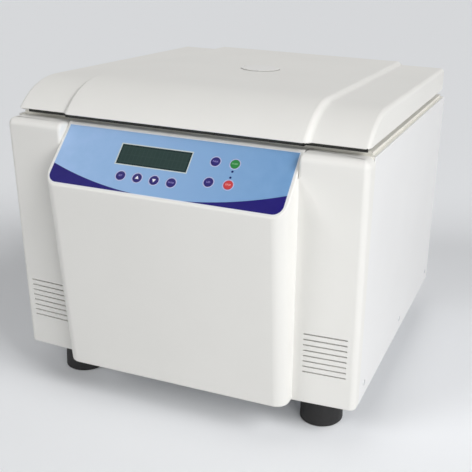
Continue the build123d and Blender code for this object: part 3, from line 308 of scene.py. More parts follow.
def clear_selection():
    bpy.ops.object.select_all(action="DESELECT")


def take(obj):
    """Selects one piece alone and makes it the active one."""
    clear_selection()
    obj.select_set(True)
    bpy.context.view_layer.objects.active = obj


def lay(obj, place):
    """Carries a piece by a matrix and puts its new place into its mesh."""
    take(obj)
    obj.matrix_world = place
    bpy.ops.object.transform_apply()
    return obj


def settle(name):
    """Names the newest object and puts its place and size into its mesh."""
    obj = bpy.context.object
    bpy.ops.object.transform_apply()
    obj.name = name
    obj.data.name = name
    return obj


def block(name, x, y, z):
    """Box between two X, two Y and two Z values."""
    clear_selection()
    middle = [(pair[0] + pair[1]) / 2 * MM for pair in (x, y, z)]
    bpy.ops.mesh.primitive_cube_add(size=1, location=middle)
    bpy.context.object.scale = [(pair[1] - pair[0]) * MM for pair in (x, y, z)]
    return settle(name)


def disc(name, centre, radius, depth, sides=48, turn=(0, 0, 0)):
    """Round bar about its own axis."""
    clear_selection()
    bpy.ops.mesh.primitive_cylinder_add(
        vertices=sides,
        radius=radius * MM,
        depth=depth * MM,
        location=[v * MM for v in centre],
        rotation=turn,
    )
    return settle(name)


def edit(obj):
    take(obj)
    bpy.ops.object.mode_set(mode="EDIT")
    bpy.ops.mesh.select_all(action="DESELECT")


def done():
    bpy.ops.object.mode_set(mode="OBJECT")


def pick(kind, test):
    """Selects the vertices, edges or faces of the open mesh that pass the test."""
    bpy.ops.mesh.select_mode(type=kind)
    bpy.ops.mesh.select_all(action="DESELECT")
    mesh = bmesh.from_edit_mesh(bpy.context.edit_object.data)
    parts = {"VERT": mesh.verts, "EDGE": mesh.edges, "FACE": mesh.faces}[kind]
    for part in [part for part in parts if test(part)]:
        part.select_set(True)
    bmesh.update_edit_mesh(bpy.context.edit_object.data)


def pick_edges(test, also=None):
    """Selects the edges of the open mesh whose two ends pass the test, and that pass a second."""
    pick("EDGE", lambda e: both(e, test) and (also is None or also(e)))


def both(edge, test):
    return all(test(vert.co) for vert in edge.verts)


def middle_of(edge):
    return (edge.verts[0].co + edge.verts[1].co) / 2


def spans(edge, axis):
    """Millimetres between an edge's ends along an axis."""
    return abs(edge.verts[0].co[axis] - edge.verts[1].co[axis]) / MM


def slice_at(point, normal, below=False, above=False):
    """Cuts the open mesh along a plane. It may clear what is below, or clear above and close."""
    bpy.ops.mesh.select_all(action="SELECT")
    bpy.ops.mesh.bisect(
        plane_co=[v * MM for v in point],
        plane_no=normal,
        clear_inner=below,
        clear_outer=above,
        use_fill=above,
    )


def round_edges(width, segments):
    bpy.ops.mesh.bevel(offset=width * MM, segments=segments)


def modify(obj, kind, **settings):
    """Adds a modifier, sets it and applies it."""
    take(obj)
    modifier = obj.modifiers.new(kind.lower(), kind)
    for key, value in settings.items():
        setattr(modifier, key, value)
    bpy.ops.object.modifier_apply(modifier=modifier.name)


def join_solid(obj, other):
    modify(obj, "BOOLEAN", operation="UNION", solver="EXACT", object=other)
    bpy.data.objects.remove(other)


def cut_away(obj, other, solver="EXACT"):
    modify(obj, "BOOLEAN", operation="DIFFERENCE", solver=solver, object=other)
    bpy.data.objects.remove(other)


def join(objects, name):
    clear_selection()
    for obj in objects:
        obj.select_set(True)
    bpy.context.view_layer.objects.active = objects[0]
    bpy.ops.object.join()
    objects[0].name = name
    objects[0].data.name = name
    return objects[0]


def soft_edges(obj, width, segments=2, angle=35):
    """Rounds the edges of a piece that are sharper than an angle, in degrees."""
    limit = radians(angle)
    modify(obj, "BEVEL", width=width * MM, segments=segments, limit_method="ANGLE", angle_limit=limit)


def smooth(obj, angle=35):
    take(obj)
    bpy.ops.object.shade_smooth_by_angle(angle=radians(angle))
    modify(obj, "WEIGHTED_NORMAL", keep_sharp=True, weight=80)


def slot_stack(name, x, y, lowest, height, rounding, count, pitch):
    """Cutter for a stack of level slots that run through along Y, with rounded ends."""
    slot = block(name, x, y, around(lowest, height / 2))
    edit(slot)
    pick("EDGE", lambda e: spans(e, Y) > 1)
    round_edges(rounding, 3)
    done()
    modify(
        slot,
        "ARRAY",
        count=count,
        use_relative_offset=False,
        use_constant_offset=True,
        constant_offset_displace=(0, 0, pitch * MM),
    )
    return slot


def dress(obj, slot, body, finish=None):
    """Gives a piece the finish of its slot, or another one, and makes it ride on its body."""
    obj.data.materials.clear()
    obj.data.materials.append(finishes[finish or slot])
    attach(obj, body)


# ---------- finishes
finishes = {}
GRAIN = 0.8  # millimetres
BRUSH_LINE = 8
GLOSS_SWING = 0.04


def start_finish(name):
    """New finish: its shader, and the place on the piece that its patterns follow."""
    finish = bpy.data.materials.new(name)
    finish.use_nodes = True
    finishes[name] = finish
    nodes = finish.node_tree.nodes
    return nodes["Principled BSDF"], nodes.new("ShaderNodeTexCoord").outputs["Object"]


def feed(socket, value):
    """Sets a socket to a number or a colour, or links another node's output to it."""
    if isinstance(value, bpy.types.NodeSocket):
        socket.id_data.links.new(value, socket)
    elif socket.type == "RGBA":
        socket.default_value = (*value, 1)
    else:
        socket.default_value = value


def set_inputs(node, **inputs):
    """Feeds a node's inputs, each given by its name with _ for a space."""
    for name, value in inputs.items():
        feed(node.inputs[name.replace("_", " ")], value)
    return node


def add_node(beside, kind, **inputs):
    """New node in the same tree as an output, with its inputs fed."""
    return set_inputs(beside.id_data.nodes.new(f"ShaderNode{kind}"), **inputs)


def noise(place, size, detail=3.0, roughness=0.5):
    """Noise whose blotches are about the given size in millimetres."""
    node = add_node(place, "TexNoise", Vector=place, Scale=1 / (size * MM), Detail=detail)
    return set_inputs(node, Roughness=roughness).outputs["Fac"]


def between(value, low, high, from_low=0.3, from_high=0.7):
    """Carries a value from one range to another, and holds it at the ends."""
    node = add_node(value, "MapRange", Value=value, From_Min=from_low, From_Max=from_high)
    return set_inputs(node, To_Min=low, To_Max=high).outputs["Result"]


def mix_colours(share, first, second):
    node = add_node(share, "Mix")
    node.data_type = "RGBA"
    feed(node.inputs["Factor"], share)
    for name, value in (("A", first), ("B", second)):
        feed([i for i in node.inputs if i.name == name and i.type == "RGBA"][0], value)
    return [o for o in node.outputs if o.type == "RGBA"][0]


def bump(shader, height, depth):
    node = add_node(height, "Bump", Height=height, Distance=depth * MM, Strength=1)
    set_inputs(shader, Normal=node.outputs["Normal"])


def srgb(r, g, b):
    """Screen colour, 0 to 255, as the linear colour that renders as it."""
    out = []
    for value in (r, g, b):
        v = value / 255
        out.append(v / 12.92 if v <= 0.04045 else ((v + 0.055) / 1.055) ** 2.4)
    return tuple(out)


def shades(colour, tint):
    """A colour and the darker one it is blotched with."""
    light = srgb(*colour)
    return tuple(v * (1 - tint) for v in light), light


def reckon(operation, *values):
    """One step of sums on node outputs, or on numbers and at least one output."""
    node = add_node([v for v in values if isinstance(v, bpy.types.NodeSocket)][0], "Math")
    node.operation = operation
    for socket, value in zip(node.inputs, values):
        feed(socket, value)
    return node.outputs["Value"]


def past(value, limit):
    """How far a measure is past a limit, or 0 short of it."""
    return reckon("MAXIMUM", reckon("SUBTRACT", value, limit), 0)


def room_inside(value, middle, half):
    """How far a measure is inside the two ends of a stretch."""
    return reckon("SUBTRACT", half, reckon("ABSOLUTE", reckon("SUBTRACT", value, middle)))


def measure_along(place, direction, start=0):
    """Millimetres along a direction from where it reads start."""
    node = add_node(place, "VectorMath")
    node.operation = "DOT_PRODUCT"
    feed(node.inputs[0], place)
    feed(node.inputs[1], Vector(direction) / MM)
    return reckon("SUBTRACT", node.outputs["Value"], start)


def panel_measures(place):
    """How far a point is across the control face and down it, in millimetres."""
    top = -Vector(PANEL_ORIGIN).dot(PANEL_UP)
    return measure_along(place, (1, 0, 0)), measure_along(place, -PANEL_UP, top)


def plain_finish(name, colour, roughness, tint, blotch, metal=0, grain_depth=0.02):
    """Paint, plastic, rubber or metal: blotchy colour, uneven gloss and a fine grain."""
    shader, place = start_finish(name)
    blotches = between(noise(place, blotch), 0, 1)
    gloss = between(noise(place, blotch / 4, detail=4), *around(roughness, GLOSS_SWING))
    colour = mix_colours(blotches, *shades(colour, tint))
    set_inputs(shader, Base_Color=colour, Roughness=gloss, Metallic=metal)
    bump(shader, noise(place, GRAIN, detail=2), grain_depth)


def brushed_finish(name, colour, roughness, grain, depth=0.004, tint=0.08):
    """Metal with fine brush lines, drawn out along the axes where its grain is small."""
    shader, place = start_finish(name)
    stretched = add_node(place, "Mapping", Vector=place, Scale=grain).outputs["Vector"]
    lines = noise(stretched, BRUSH_LINE, detail=6, roughness=0.7)
    gloss = between(lines, *around(roughness, GLOSS_SWING + 0.01))
    colour = mix_colours(between(lines, 0, 1), *shades(colour, tint))
    set_inputs(shader, Base_Color=colour, Roughness=gloss, Metallic=1)
    bump(shader, lines, depth)


def overlay_print():
    """Blue film with an indigo sweep along its lower edge and a pale border."""
    shader, place = start_finish("overlay_blue")
    across, drop = panel_measures(place)
    run = between(across, 0, 1, -OVERLAY_HALF, OVERLAY_HALF)
    field = mix_colours(run, srgb(165, 197, 238), srgb(115, 158, 204))
    clouds = between(noise(place, 14, detail=4), 0, 0.35)
    field = mix_colours(clouds, field, srgb(138, 179, 220))
    share = reckon("DIVIDE", across, OVERLAY_HALF)
    sag = reckon("MULTIPLY", reckon("MULTIPLY", share, share), SWEEP_HEIGHT)
    sweep_line = reckon("SUBTRACT", OVERLAY_LENGTH, sag)
    under = between(reckon("SUBTRACT", drop, sweep_line), 0, 1, -INK_BLEED, INK_BLEED)
    deep = mix_colours(clouds, srgb(34, 27, 112), srgb(42, 34, 128))
    printed = mix_colours(under, field, deep)
    side = past(reckon("ABSOLUTE", across), OVERLAY_HALF - OVERLAY_CORNER)
    foot = past(drop, OVERLAY_LENGTH - OVERLAY_CORNER)
    squares = [reckon("MULTIPLY", gap, gap) for gap in (side, foot)]
    corner = reckon("SQRT", reckon("ADD", *squares))
    edge_gap = reckon("MINIMUM", reckon("SUBTRACT", OVERLAY_CORNER, corner), drop)
    inside = between(edge_gap, 0, 1, *around(OVERLAY_BORDER, INK_BLEED))
    printed = mix_colours(inside, srgb(236, 238, 242), printed)
    gloss = between(noise(place, 18, detail=4), 0.34, 0.46)
    set_inputs(shader, Base_Color=printed, Specular_IOR_Level=0.3, Roughness=gloss)
    bump(shader, noise(place, 0.5, detail=2), 0.012)


def display_glass():
    """Unlit liquid-crystal display under a clear window: two rows of faint cells, with painted shade
    darkening the pane towards the window's edges.
    """
    shader, place = start_finish("display_smoke")
    across, drop = panel_measures(place)
    x = reckon("SUBTRACT", across, WINDOW_X - WINDOW_WIDTH / 2 + CELL_MARGIN)
    y = reckon("SUBTRACT", drop, WINDOW_DROP)
    cells = add_node(
        place,
        "TexBrick",
        Vector=add_node(place, "CombineXYZ", X=x, Y=y).outputs["Vector"],
        Scale=1,
        Brick_Width=CELL_WIDTH,
        Row_Height=CELL_HEIGHT,
        Mortar_Size=CELL_GAP,
        Mortar_Smooth=0.3,
        Color1=srgb(53, 70, 68),
        Color2=srgb(54, 72, 69),
        Mortar=srgb(58, 75, 72),
    )
    cells.offset = 0
    cells.squash = 1
    side = room_inside(across, WINDOW_X, WINDOW_WIDTH / 2)
    end = room_inside(drop, WINDOW_DROP, WINDOW_HEIGHT / 2)
    # painted shade: near the window's edges the pane fades to a darker colour, standing in for the
    # shade of a recess
    inside = between(reckon("MINIMUM", side, end), 0, 1, *DISPLAY_SHADE_BAND)
    colour = mix_colours(inside, srgb(36, 50, 54), cells.outputs["Color"])
    gloss = between(noise(place, 20, detail=4), 0.12, 0.22)
    set_inputs(shader, Base_Color=colour, Roughness=gloss)


overlay_print()
display_glass()
brushed_finish("steel", (222, 223, 225), 0.34, (1, 1, 30))
brushed_finish("zinc_steel", (206, 208, 211), 0.46, (1, 12, 12), 0.002, 0.12)
brushed_finish("rotor_aluminium", (214, 217, 221), 0.36, (20, 1.5, 1))
plain_finish("screw_steel", (222, 223, 225), 0.4, 0.06, 3, metal=0.6, grain_depth=0.002)
plain_finish("rubber_black", (34, 33, 34), 0.62, 0.25, 14, grain_depth=0.06)
plain_finish("seal_rubber", (26, 26, 22), 0.6, 0.2, 14, grain_depth=0.05)

# name, colour, roughness, share that the blotches darken, and their size
for row in (
    ("casing_white", (240, 240, 240), 0.42, 0.02, 90),
    ("moulding_white", (240, 239, 235), 0.5, 0.02, 80),
    ("lid_white", (240, 239, 235), 0.52, 0.02, 80),
    ("deck_beige", (236, 234, 226), 0.45, 0.04, 60),
    ("port_white", (236, 235, 232), 0.3, 0.02, 60),
    ("display_dark", (40, 44, 42), 0.5, 0.06, 60),
    ("circuit_green", (28, 92, 54), 0.4, 0.06, 12),
    ("key_indigo", (50, 42, 118), 0.35, 0.1, 6),
    ("key_green", (50, 140, 70), 0.35, 0.1, 6),
    ("key_red", (208, 68, 72), 0.35, 0.1, 6),
    ("lamp_dark", (40, 50, 110), 0.2, 0.06, 60),
    ("motor_grey", (92, 96, 100), 0.45, 0.15, 20),
    ("funnel_white", (232, 233, 231), 0.35, 0.04, 10),
    ("slide_glass", (226, 240, 236), 0.05, 0.03, 10),
    ("black_plastic", (30, 30, 32), 0.4, 0.2, 10),
    ("print_lilac", (196, 197, 234), 0.4, 0.05, 4),
    ("print_white", (240, 240, 248), 0.4, 0.04, 4),
    ("legend_violet", (150, 140, 205), 0.4, 0.05, 3),
    ("legend_green", (150, 205, 160), 0.4, 0.05, 3),
    ("legend_pink", (248, 178, 176), 0.4, 0.05, 3),
    ("bezel_pale", (206, 216, 216), 0.4, 0.05, 6),
):
    plain_finish(*row)

for subpart in frame["record"]["subparts"]:
    node_mesh = frame["nodes"][subpart["node"]].data
    node_mesh.materials.clear()
    node_mesh.materials.append(finishes[subpart["material_slot"]])


# ---------- lid moulding
def model_lid():
    """Lid cover rolled down to its front rim, with a raised middle and a recess for the port."""
    side_radius = ROLL_RADIUS - LID_STEP
    roll_z = LID_TOP_Z - ROLL_RADIUS
    side_top = LID_TOP_Z - LID_STEP
    front = ROLL_Y - side_radius
    lid = block(
        "lid_moulding",
        (-LID_HALF, LID_HALF),
        (front, LID_REAR_Y),
        (roll_z - LID_SPARE, side_top),
    )
    edit(lid)
    pick_edges(lambda c: near(c.y, front) and near(c.z, side_top))
    round_edges(side_radius, ROLL_STEPS)
    for x in (-MIDDLE_FOOT_HALF, -MIDDLE_TOP_HALF, MIDDLE_TOP_HALF, MIDDLE_FOOT_HALF):
        slice_at((x, 0, 0), (1, 0, 0))

    # the middle is raised: its roll grows about the axis, and its flat top moves up
    inside = (MIDDLE_TOP_HALF + 0.1) * MM
    flat_start = ROLL_Y + 0.1
    pick(
        "VERT",
        lambda v: abs(v.co.x) < inside and v.co.y / MM < flat_start and v.co.z / MM > roll_z - 1,
    )
    grow = ROLL_RADIUS / side_radius
    bpy.ops.transform.resize(value=(1, grow, grow), center_override=(0, ROLL_Y * MM, roll_z * MM))
    pick(
        "VERT",
        lambda v: abs(v.co.x) < inside and v.co.y / MM > flat_start and near(v.co.z, side_top),
    )
    bpy.ops.transform.translate(value=(0, 0, LID_STEP * MM))

    pick_edges(lambda c: near(c.y, LID_REAR_Y) and c.z / MM > side_top - 1)
    round_edges(LID_REAR_ROUND, 6)
    for side in (-LID_HALF, LID_HALF):
        pick_edges(lambda c: near(c.x, side), lambda e: middle_of(e).z / MM > roll_z + 1)
        round_edges(LID_SIDE_ROUND, 5)
    for x in (MIDDLE_TOP_HALF, -MIDDLE_TOP_HALF, MIDDLE_FOOT_HALF, -MIDDLE_FOOT_HALF):
        pick_edges(
            lambda c: near(c.x, x),
            lambda e: middle_of(e).z / MM > roll_z + 1
            and not both(e, lambda c: near(c.y, LID_REAR_Y)),
        )
        round_edges(LID_STEP_ROUND, 4)
    slice_at((0, 0, LID_RIM_Z), (0, 0, 1), below=True)
    done()
    modify(lid, "SOLIDIFY", thickness=LID_WALL * MM, offset=-1, use_even_offset=True)
    cutter = 10
    recess_middle = (0, ROTOR_Y, LID_TOP_Z - PORT_RECESS_DEEP + cutter / 2)
    cut_away(lid, disc("port_recess", recess_middle, PORT_RECESS_RADIUS, cutter, PORT_SIDES))
    stem_middle = (0, ROTOR_Y, LID_TOP_Z)
    cut_away(lid, disc("port_stem_hole", stem_middle, PORT_STEM_RADIUS, 2 * cutter, PORT_SIDES))
    soft_edges(lid, LID_RIM_ROUND, 2, 60)
    smooth(lid)
    dress(lid, "lid_white", "lid")
    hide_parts("lid_cover")


def model_port():
    """Round port cap standing on a narrower neck, so a dark gap shows under its rim."""
    middle = (0, ROTOR_Y, (PORT_TOP_Z + PORT_FOOT_Z) / 2)
    cap = disc("port_cap", middle, PORT_CAP_RADIUS, PORT_TOP_Z - PORT_FOOT_Z, PORT_SIDES)
    edit(cap)
    slice_at((0, 0, PORT_GAP_Z), (0, 0, 1))
    pick("FACE", lambda f: f.normal.z < -0.9)
    bpy.ops.mesh.delete(type="FACE")
    pick_edges(lambda c: near(c.z, PORT_FOOT_Z))
    bpy.ops.mesh.delete(type="VERT")
    pick_edges(lambda c: near(c.z, PORT_GAP_Z))
    bpy.ops.mesh.edge_face_add()
    pick("FACE", lambda f: f.normal.z < -0.9)
    bpy.ops.mesh.inset(thickness=PORT_GAP_DEEP * MM)
    bpy.ops.mesh.extrude_region_move(
        TRANSFORM_OT_translate={"value": (0, 0, (PORT_FOOT_Z - PORT_GAP_Z) * MM)}
    )
    pick_edges(lambda c: near(c.z, PORT_TOP_Z))
    round_edges(PORT_ROUND, 3)
    done()
    smooth(cap, 40)
    dress(cap, "port_white", "lid")
    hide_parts("sight_port")


def model_rim_shade_strip():
    """Dark rubber strip hanging under the lid's front rim, stepped forward with its raised middle; part
    seal, part painted shade that darkens the gap under the rim.
    """
    heights = (LID_RIM_Z - STRIP_HEIGHT, LID_RIM_Z + STRIP_GRIP)
    half = LID_HALF - STRIP_INSET
    middle_front = STRIP_FRONT_Y - STRIP_STEP
    return_edge = MIDDLE_TOP_HALF - STRIP_THICK
    back = STRIP_FRONT_Y + STRIP_THICK
    bars = (
        (STRIP_START - half, -MIDDLE_TOP_HALF, STRIP_FRONT_Y, back),
        (-MIDDLE_TOP_HALF, -return_edge, middle_front, back),
        (-MIDDLE_TOP_HALF, MIDDLE_TOP_HALF, middle_front, middle_front + STRIP_THICK),
        (return_edge, MIDDLE_TOP_HALF, middle_front, back),
        (MIDDLE_TOP_HALF, half, STRIP_FRONT_Y, back),
    )
    strips = []
    for i, (left, right, front, rear) in enumerate(bars):
        bar = block(f"strip_bar_{i}", (left, right), (front, rear), heights)
        soft_edges(bar, STRIP_ROUND, 2, 50)
        strips.append(bar)
    strip = join(strips, "rim_shade_strip")
    smooth(strip, 40)
    dress(strip, "seal_rubber", "lid")


model_lid()
model_port()
model_rim_shade_strip()


# ---------- front moulding
def on_panel_plane(corner):
    return abs((corner - Vector(PANEL_ORIGIN) * MM).dot(PANEL_NORMAL)) < 0.02 * MM


def console_form(name, inset, back_y):
    """Solid console, its outer faces moved in by inset."""
    half = CONSOLE_HALF - inset
    form = block(name, (-half, half), (CONSOLE_BLANK_Y, back_y), (BASE_Z + inset, TOP_Z - inset))
    edit(form)
    lean = Vector((0, -(KNEE_Z - BASE_Z), CONSOLE_FOOT_Y - KNEE_Y)).normalized()
    lean.z = -abs(lean.z)
    for plane_y, plane_z, face in (
        (CONSOLE_FOOT_Y, BASE_Z, lean),
        (PANEL_ORIGIN[Y], PANEL_ORIGIN[Z], PANEL_NORMAL),
    ):
        slice_at((0, plane_y - face.y * inset, plane_z - face.z * inset), face, above=True)
    pick(
        "EDGE",
        lambda e: near(abs(e.verts[0].co.x), half)
        and spans(e, X) < 0.02
        and middle_of(e).y / MM < CONSOLE_FOOT_Y + 5
        and abs(middle_of(e).z / MM - (KNEE_Z + BASE_Z) / 2) < 25,
    )
    round_edges(CONSOLE_CORNER - inset, 10)
    if inset == 0:
        pick_edges(on_panel_plane, lambda e: not both(e, lambda c: near(c.z, TOP_Z)))
        round_edges(CONSOLE_RIM_ROUND, 4)
        for level, width, steps in ((BASE_Z, CONSOLE_FOOT_ROUND, 4), (TOP_Z, CONSOLE_TOP_ROUND, 3)):
            pick_edges(lambda c: near(c.z, level), lambda e: middle_of(e).y / MM < SEAM_Y - 1)
            round_edges(width, steps)
    done()
    return form


def wing_form(name, side, inset, inner, back_y):
    """Solid wing on one side of the console, its outer faces moved in by inset."""
    outer = HALF_WIDTH - inset
    low = BASE_Z + inset
    top = TOP_Z - inset
    form = block(name, side_range(side, inner, outer), (WING_BLANK_Y, back_y), (low, top))
    edit(form)
    sweep = Vector((cos(WING_SWEEP), sin(WING_SWEEP), 0))
    rise = Vector((0, WING_TOP_Y - WING_FOOT_Y, TOP_Z - BASE_Z)).normalized()
    face = sweep.cross(rise)
    front_foot = (
        side * (CONSOLE_HALF - face.x * inset),
        WING_FOOT_Y - face.y * inset,
        BASE_Z - face.z * inset,
    )
    slice_at(front_foot, (side * face.x, face.y, face.z), above=True)

    def free(edge):
        """Whether an edge is on neither the wing's back nor its inner side."""
        return not both(edge, lambda c: near(c.y, back_y)) and not both(
            edge, lambda c: near(c.x, side * inner)
        )

    pick_edges(
        lambda c: near(c.x, side * outer) and c.y / MM < SEAM_Y - 5, lambda e: spans(e, Z) > 200
    )
    round_edges(WING_CORNER - inset, 8)
    pick_edges(lambda c: near(c.z, top), free)
    round_edges(WING_TOP_ROUND - inset, 7)
    if inset == 0:
        slice_at((0, 0, GROOVE_FOOT_Z), (0, 0, 1))
        pick_edges(
            lambda c: near(c.x, side * inner) and c.z / MM > GROOVE_FOOT_Z - 0.05,
            lambda e: not both(e, lambda c: near(c.y, back_y))
            and not both(e, lambda c: near(c.z, GROOVE_FOOT_Z)),
        )
        round_edges(GROOVE_ROUND, 4)
        pick_edges(lambda c: near(c.z, low), free)
        round_edges(WING_FOOT_ROUND, 3)
    done()
    return form


def wing_front_y(z):
    """Wing's front face beside the console at a height."""
    return WING_FOOT_Y + (WING_TOP_Y - WING_FOOT_Y) * (z - BASE_Z) / (TOP_Z - BASE_Z)


def side_range(side, near_x, far_x):
    return sorted((side * near_x, side * far_x))


def to_panel(obj):
    """Carries a piece made flat at the origin onto the control face."""
    return lay(obj, PANEL_PLACE)


def key_bores(fit, reach):
    """Cutters round the keys, larger than them by a fit."""
    low, high = reach
    return [
        disc(f"key_bore_{i}", (x, -drop, (low + high) / 2), KEY_RADIUS + fit, high - low, 40)
        for i, (x, drop) in enumerate(KEY_PLACES.values())
    ]


def window_block(name, grow, low, high):
    """Box with the display window's outline, grown all round, between two heights."""
    return block(
        name,
        around(WINDOW_X, WINDOW_WIDTH / 2 + grow),
        around(-WINDOW_DROP, WINDOW_HEIGHT / 2 + grow),
        (low, high),
    )


def overlay_blank(name, grow, low, high):
    """Overlay's outline with its two round lower corners, between two heights."""
    half = OVERLAY_HALF + grow
    foot = -OVERLAY_LENGTH - grow
    blank = block(name, (-half, half), (foot, grow), (low, high))
    edit(blank)
    pick_edges(lambda c: near(c.y, foot), lambda e: spans(e, X) < 0.02)
    round_edges(OVERLAY_CORNER, 12)
    done()
    return blank


def vent_slots(side):
    """Cutter for the vents of one wing."""
    x = side * (HALF_WIDTH - VENT_OUTER_INSET - VENT_LENGTH / 2)
    return slot_stack(
        "vent_slot",
        around(x, VENT_LENGTH / 2),
        VENT_REACH,
        VENT_LOWEST,
        VENT_HEIGHT,
        VENT_ROUND,
        VENT_COUNT,
        VENT_PITCH,
    )


def model_front():
    """Hollow front moulding: console and wings in one, cut for vents, overlay, window and keys."""
    front = console_form("front_moulding", 0, SEAM_Y)
    for side in (-1, 1):
        join_solid(front, wing_form("wing", side, 0, CONSOLE_HALF - WING_OVERLAP, SEAM_Y))
    edit(front)
    pick_edges(
        lambda c: near(abs(c.x), CONSOLE_HALF, 0.05)
        and abs(c.y / MM - wing_front_y(c.z / MM)) < 0.3
        and c.z / MM < GROOVE_FOOT_Z - 0.5,
        lambda e: spans(e, X) < 0.02,
    )
    round_edges(WING_JOIN_ROUND, 3)
    done()
    hollow_back = SEAM_Y + 5
    cut_away(front, console_form("console_hollow", MOULDING_WALL, hollow_back))
    for side in (-1, 1):
        inner = CONSOLE_HALF + MOULDING_WALL
        hollow = wing_form("wing_hollow", side, MOULDING_WALL, inner, hollow_back)
        cut_away(front, hollow, "MANIFOLD")
        cut_away(front, vent_slots(side))
    cut_away(front, to_panel(overlay_blank("recess", OVERLAY_FIT, -OVERLAY_DEPTH, 4)))
    window_hole = window_block("window_hole", OVERLAY_FIT, *PANEL_BORE)
    holes = join([window_hole, *key_bores(KEY_BORE_FIT, PANEL_BORE)], "panel_holes")
    cut_away(front, to_panel(holes))
    smooth(front, 30)
    dress(front, "moulding_white", "chassis")
    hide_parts("front_housing")


model_front()


# ---------- control overlay, display and keys
def model_overlay():
    """Printed film sunk in the control face, cut for the window, lamps and keys."""
    overlay = overlay_blank("printed_overlay", 0, -OVERLAY_DEPTH, 0)
    window_hole = window_block("window_hole", OVERLAY_FIT / 2, *OVERLAY_BORE)
    lamp_holes = [
        disc(f"lamp_hole_{i}", (LAMP_X, -drop, -1), LAMP_BORE, 6, 24)
        for i, drop in enumerate(LAMP_DROPS)
    ]
    key_holes = key_bores(KEY_PRINT_FIT, OVERLAY_BORE)
    cut_away(overlay, join([window_hole, *lamp_holes, *key_holes], "overlay_holes"))
    to_panel(overlay)
    smooth(overlay, 30)
    dress(overlay, "overlay_blue", "chassis")
    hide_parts("control_overlay")


def flat_ring(name, centre, inner, outer, low, high):
    """Thin printed ring lying flat between two heights."""
    middle = (*centre, (low + high) / 2)
    ring = disc(name, middle, outer, high - low)
    cut_away(ring, disc("ring_hole", middle, inner, high - low + 1))
    return ring


def key_slot(name):
    return {"key_start": "key_green", "key_stop": "key_red"}.get(name, "key_indigo")


def model_keys():
    """Key caps with a soft rim and a shallow dish, which reach down through the moulding."""
    for name, (x, drop) in KEY_PLACES.items():
        axis = Vector((x, -drop)) * MM
        cap = disc(f"{name}_cap", (x, -drop, KEY_PROUD - KEY_TALL / 2), KEY_RADIUS, KEY_TALL)
        edit(cap)
        pick("FACE", lambda f: f.normal.z > 0.9)
        bpy.ops.mesh.inset(thickness=KEY_RIM * MM)
        pick_edges(
            lambda c: near(c.z, KEY_PROUD) and near((Vector((c.x, c.y)) - axis).length, KEY_RADIUS)
        )
        round_edges(KEY_RIM_ROUND, 3)
        pick("FACE", lambda f: f.normal.z > 0.99 and f.calc_area() > KEY_DISH_AREA * MM * MM)
        bpy.ops.mesh.inset(thickness=KEY_DISH_INSET * MM)
        bpy.ops.transform.translate(value=(0, 0, -KEY_DISH * MM))
        done()
        to_panel(cap)
        smooth(cap, 40)
        dress(cap, key_slot(name), name)
        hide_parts(name)


def printed_word(name, text, size, centre, height):
    """Word in thin raised ink, made flat and then laid on the control face."""
    clear_selection()
    bpy.ops.object.text_add()
    word = bpy.context.object.data
    word.body = text
    word.align_x = "CENTER"
    word.align_y = "CENTER"
    word.size = size * MM
    word.extrude = INK * MM
    word.offset = LEGEND_WEIGHT * MM
    bpy.ops.object.convert(target="MESH")
    return lay(settle(name), PANEL_PLACE @ Matrix.Translation(Vector((*centre, height)) * MM))


def printed_arrow(name, centre, height, up):
    """Small triangle with soft corners, in thin ink."""
    turn = 0 if up else radians(180)
    arrow = disc(name, (*centre, height), ARROW_RADIUS, 2 * INK, 3, (0, 0, turn))
    edit(arrow)
    pick("EDGE", lambda e: spans(e, X) < 0.02 and spans(e, Y) < 0.02)
    round_edges(ARROW_ROUND, 3)
    done()
    return to_panel(arrow)


def model_legends():
    """Words and arrows on the keys."""
    words = {
        "key_set": ("SET", 2.9, "legend_violet"),
        "key_enter": ("ENTER", 2.3, "legend_violet"),
        "key_pulse": ("PULSE", 2.3, "legend_violet"),
        "key_lid": ("LID", 2.9, "legend_violet"),
        "key_start": ("START", 2.3, "legend_green"),
        "key_stop": ("STOP", 2.6, "legend_pink"),
    }
    face = KEY_PROUD - KEY_DISH + INK
    for name, (text, size, ink) in words.items():
        x, drop = KEY_PLACES[name]
        word = printed_word(f"{name}_legend", text, size, (x, -drop), face)
        dress(word, key_slot(name), name, ink)
    for name in ("key_up", "key_down"):
        x, drop = KEY_PLACES[name]
        arrow = printed_arrow(f"{name}_arrow", (x, -drop), face, name == "key_up")
        dress(arrow, key_slot(name), name, "print_white")


def model_key_rings():
    """Pale printed ring round each key."""
    rings = [
        flat_ring(f"ring_{i}", (x, -drop), KEY_RADIUS + KEY_BORE_FIT, RING_RADIUS, INK_FOOT, INK)
        for i, (x, drop) in enumerate(KEY_PLACES.values())
    ]
    rings = to_panel(join(rings, "key_rings"))
    dress(rings, "overlay_blue", "chassis", "print_lilac")


def display_frame(name, grow, low, high):
    """Pale frame round the display, between two heights."""
    rim = window_block(name, grow, low, high)
    cut_away(rim, window_block("frame_hole", -BEZEL_IN, low - 1, high + 1))
    to_panel(rim)
    dress(rim, "overlay_blue", "chassis", "bezel_pale")


def model_display():
    """Display pane sunk under a thin pale bezel, with a collar down to the pane."""
    pane = to_panel(window_block("display_pane", 0, -OVERLAY_DEPTH - PANE_DEEP, PANE_TOP))
    soft_edges(pane, PANE_ROUND)
    dress(pane, "display_smoke", "chassis")
    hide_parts("display_window")
    display_frame("display_bezel", BEZEL_OUT, INK_FOOT, INK)
    display_frame("display_collar", 0, -OVERLAY_DEPTH, INK_FOOT)


model_overlay()
model_keys()
model_legends()
model_key_rings()
model_display()


# ---------- casing
def screw_bores(spots, axis):
    """Cutters for screws through sheet, along X or along Y."""
    turn = (0, radians(90), 0) if axis == X else (radians(90), 0, 0)
    bores = [
        disc(f"bore_{i}", spot, SCREW_BORE, BORE_LENGTH, 24, turn) for i, spot in enumerate(spots)
    ]
    return join(bores, "screw_bores")


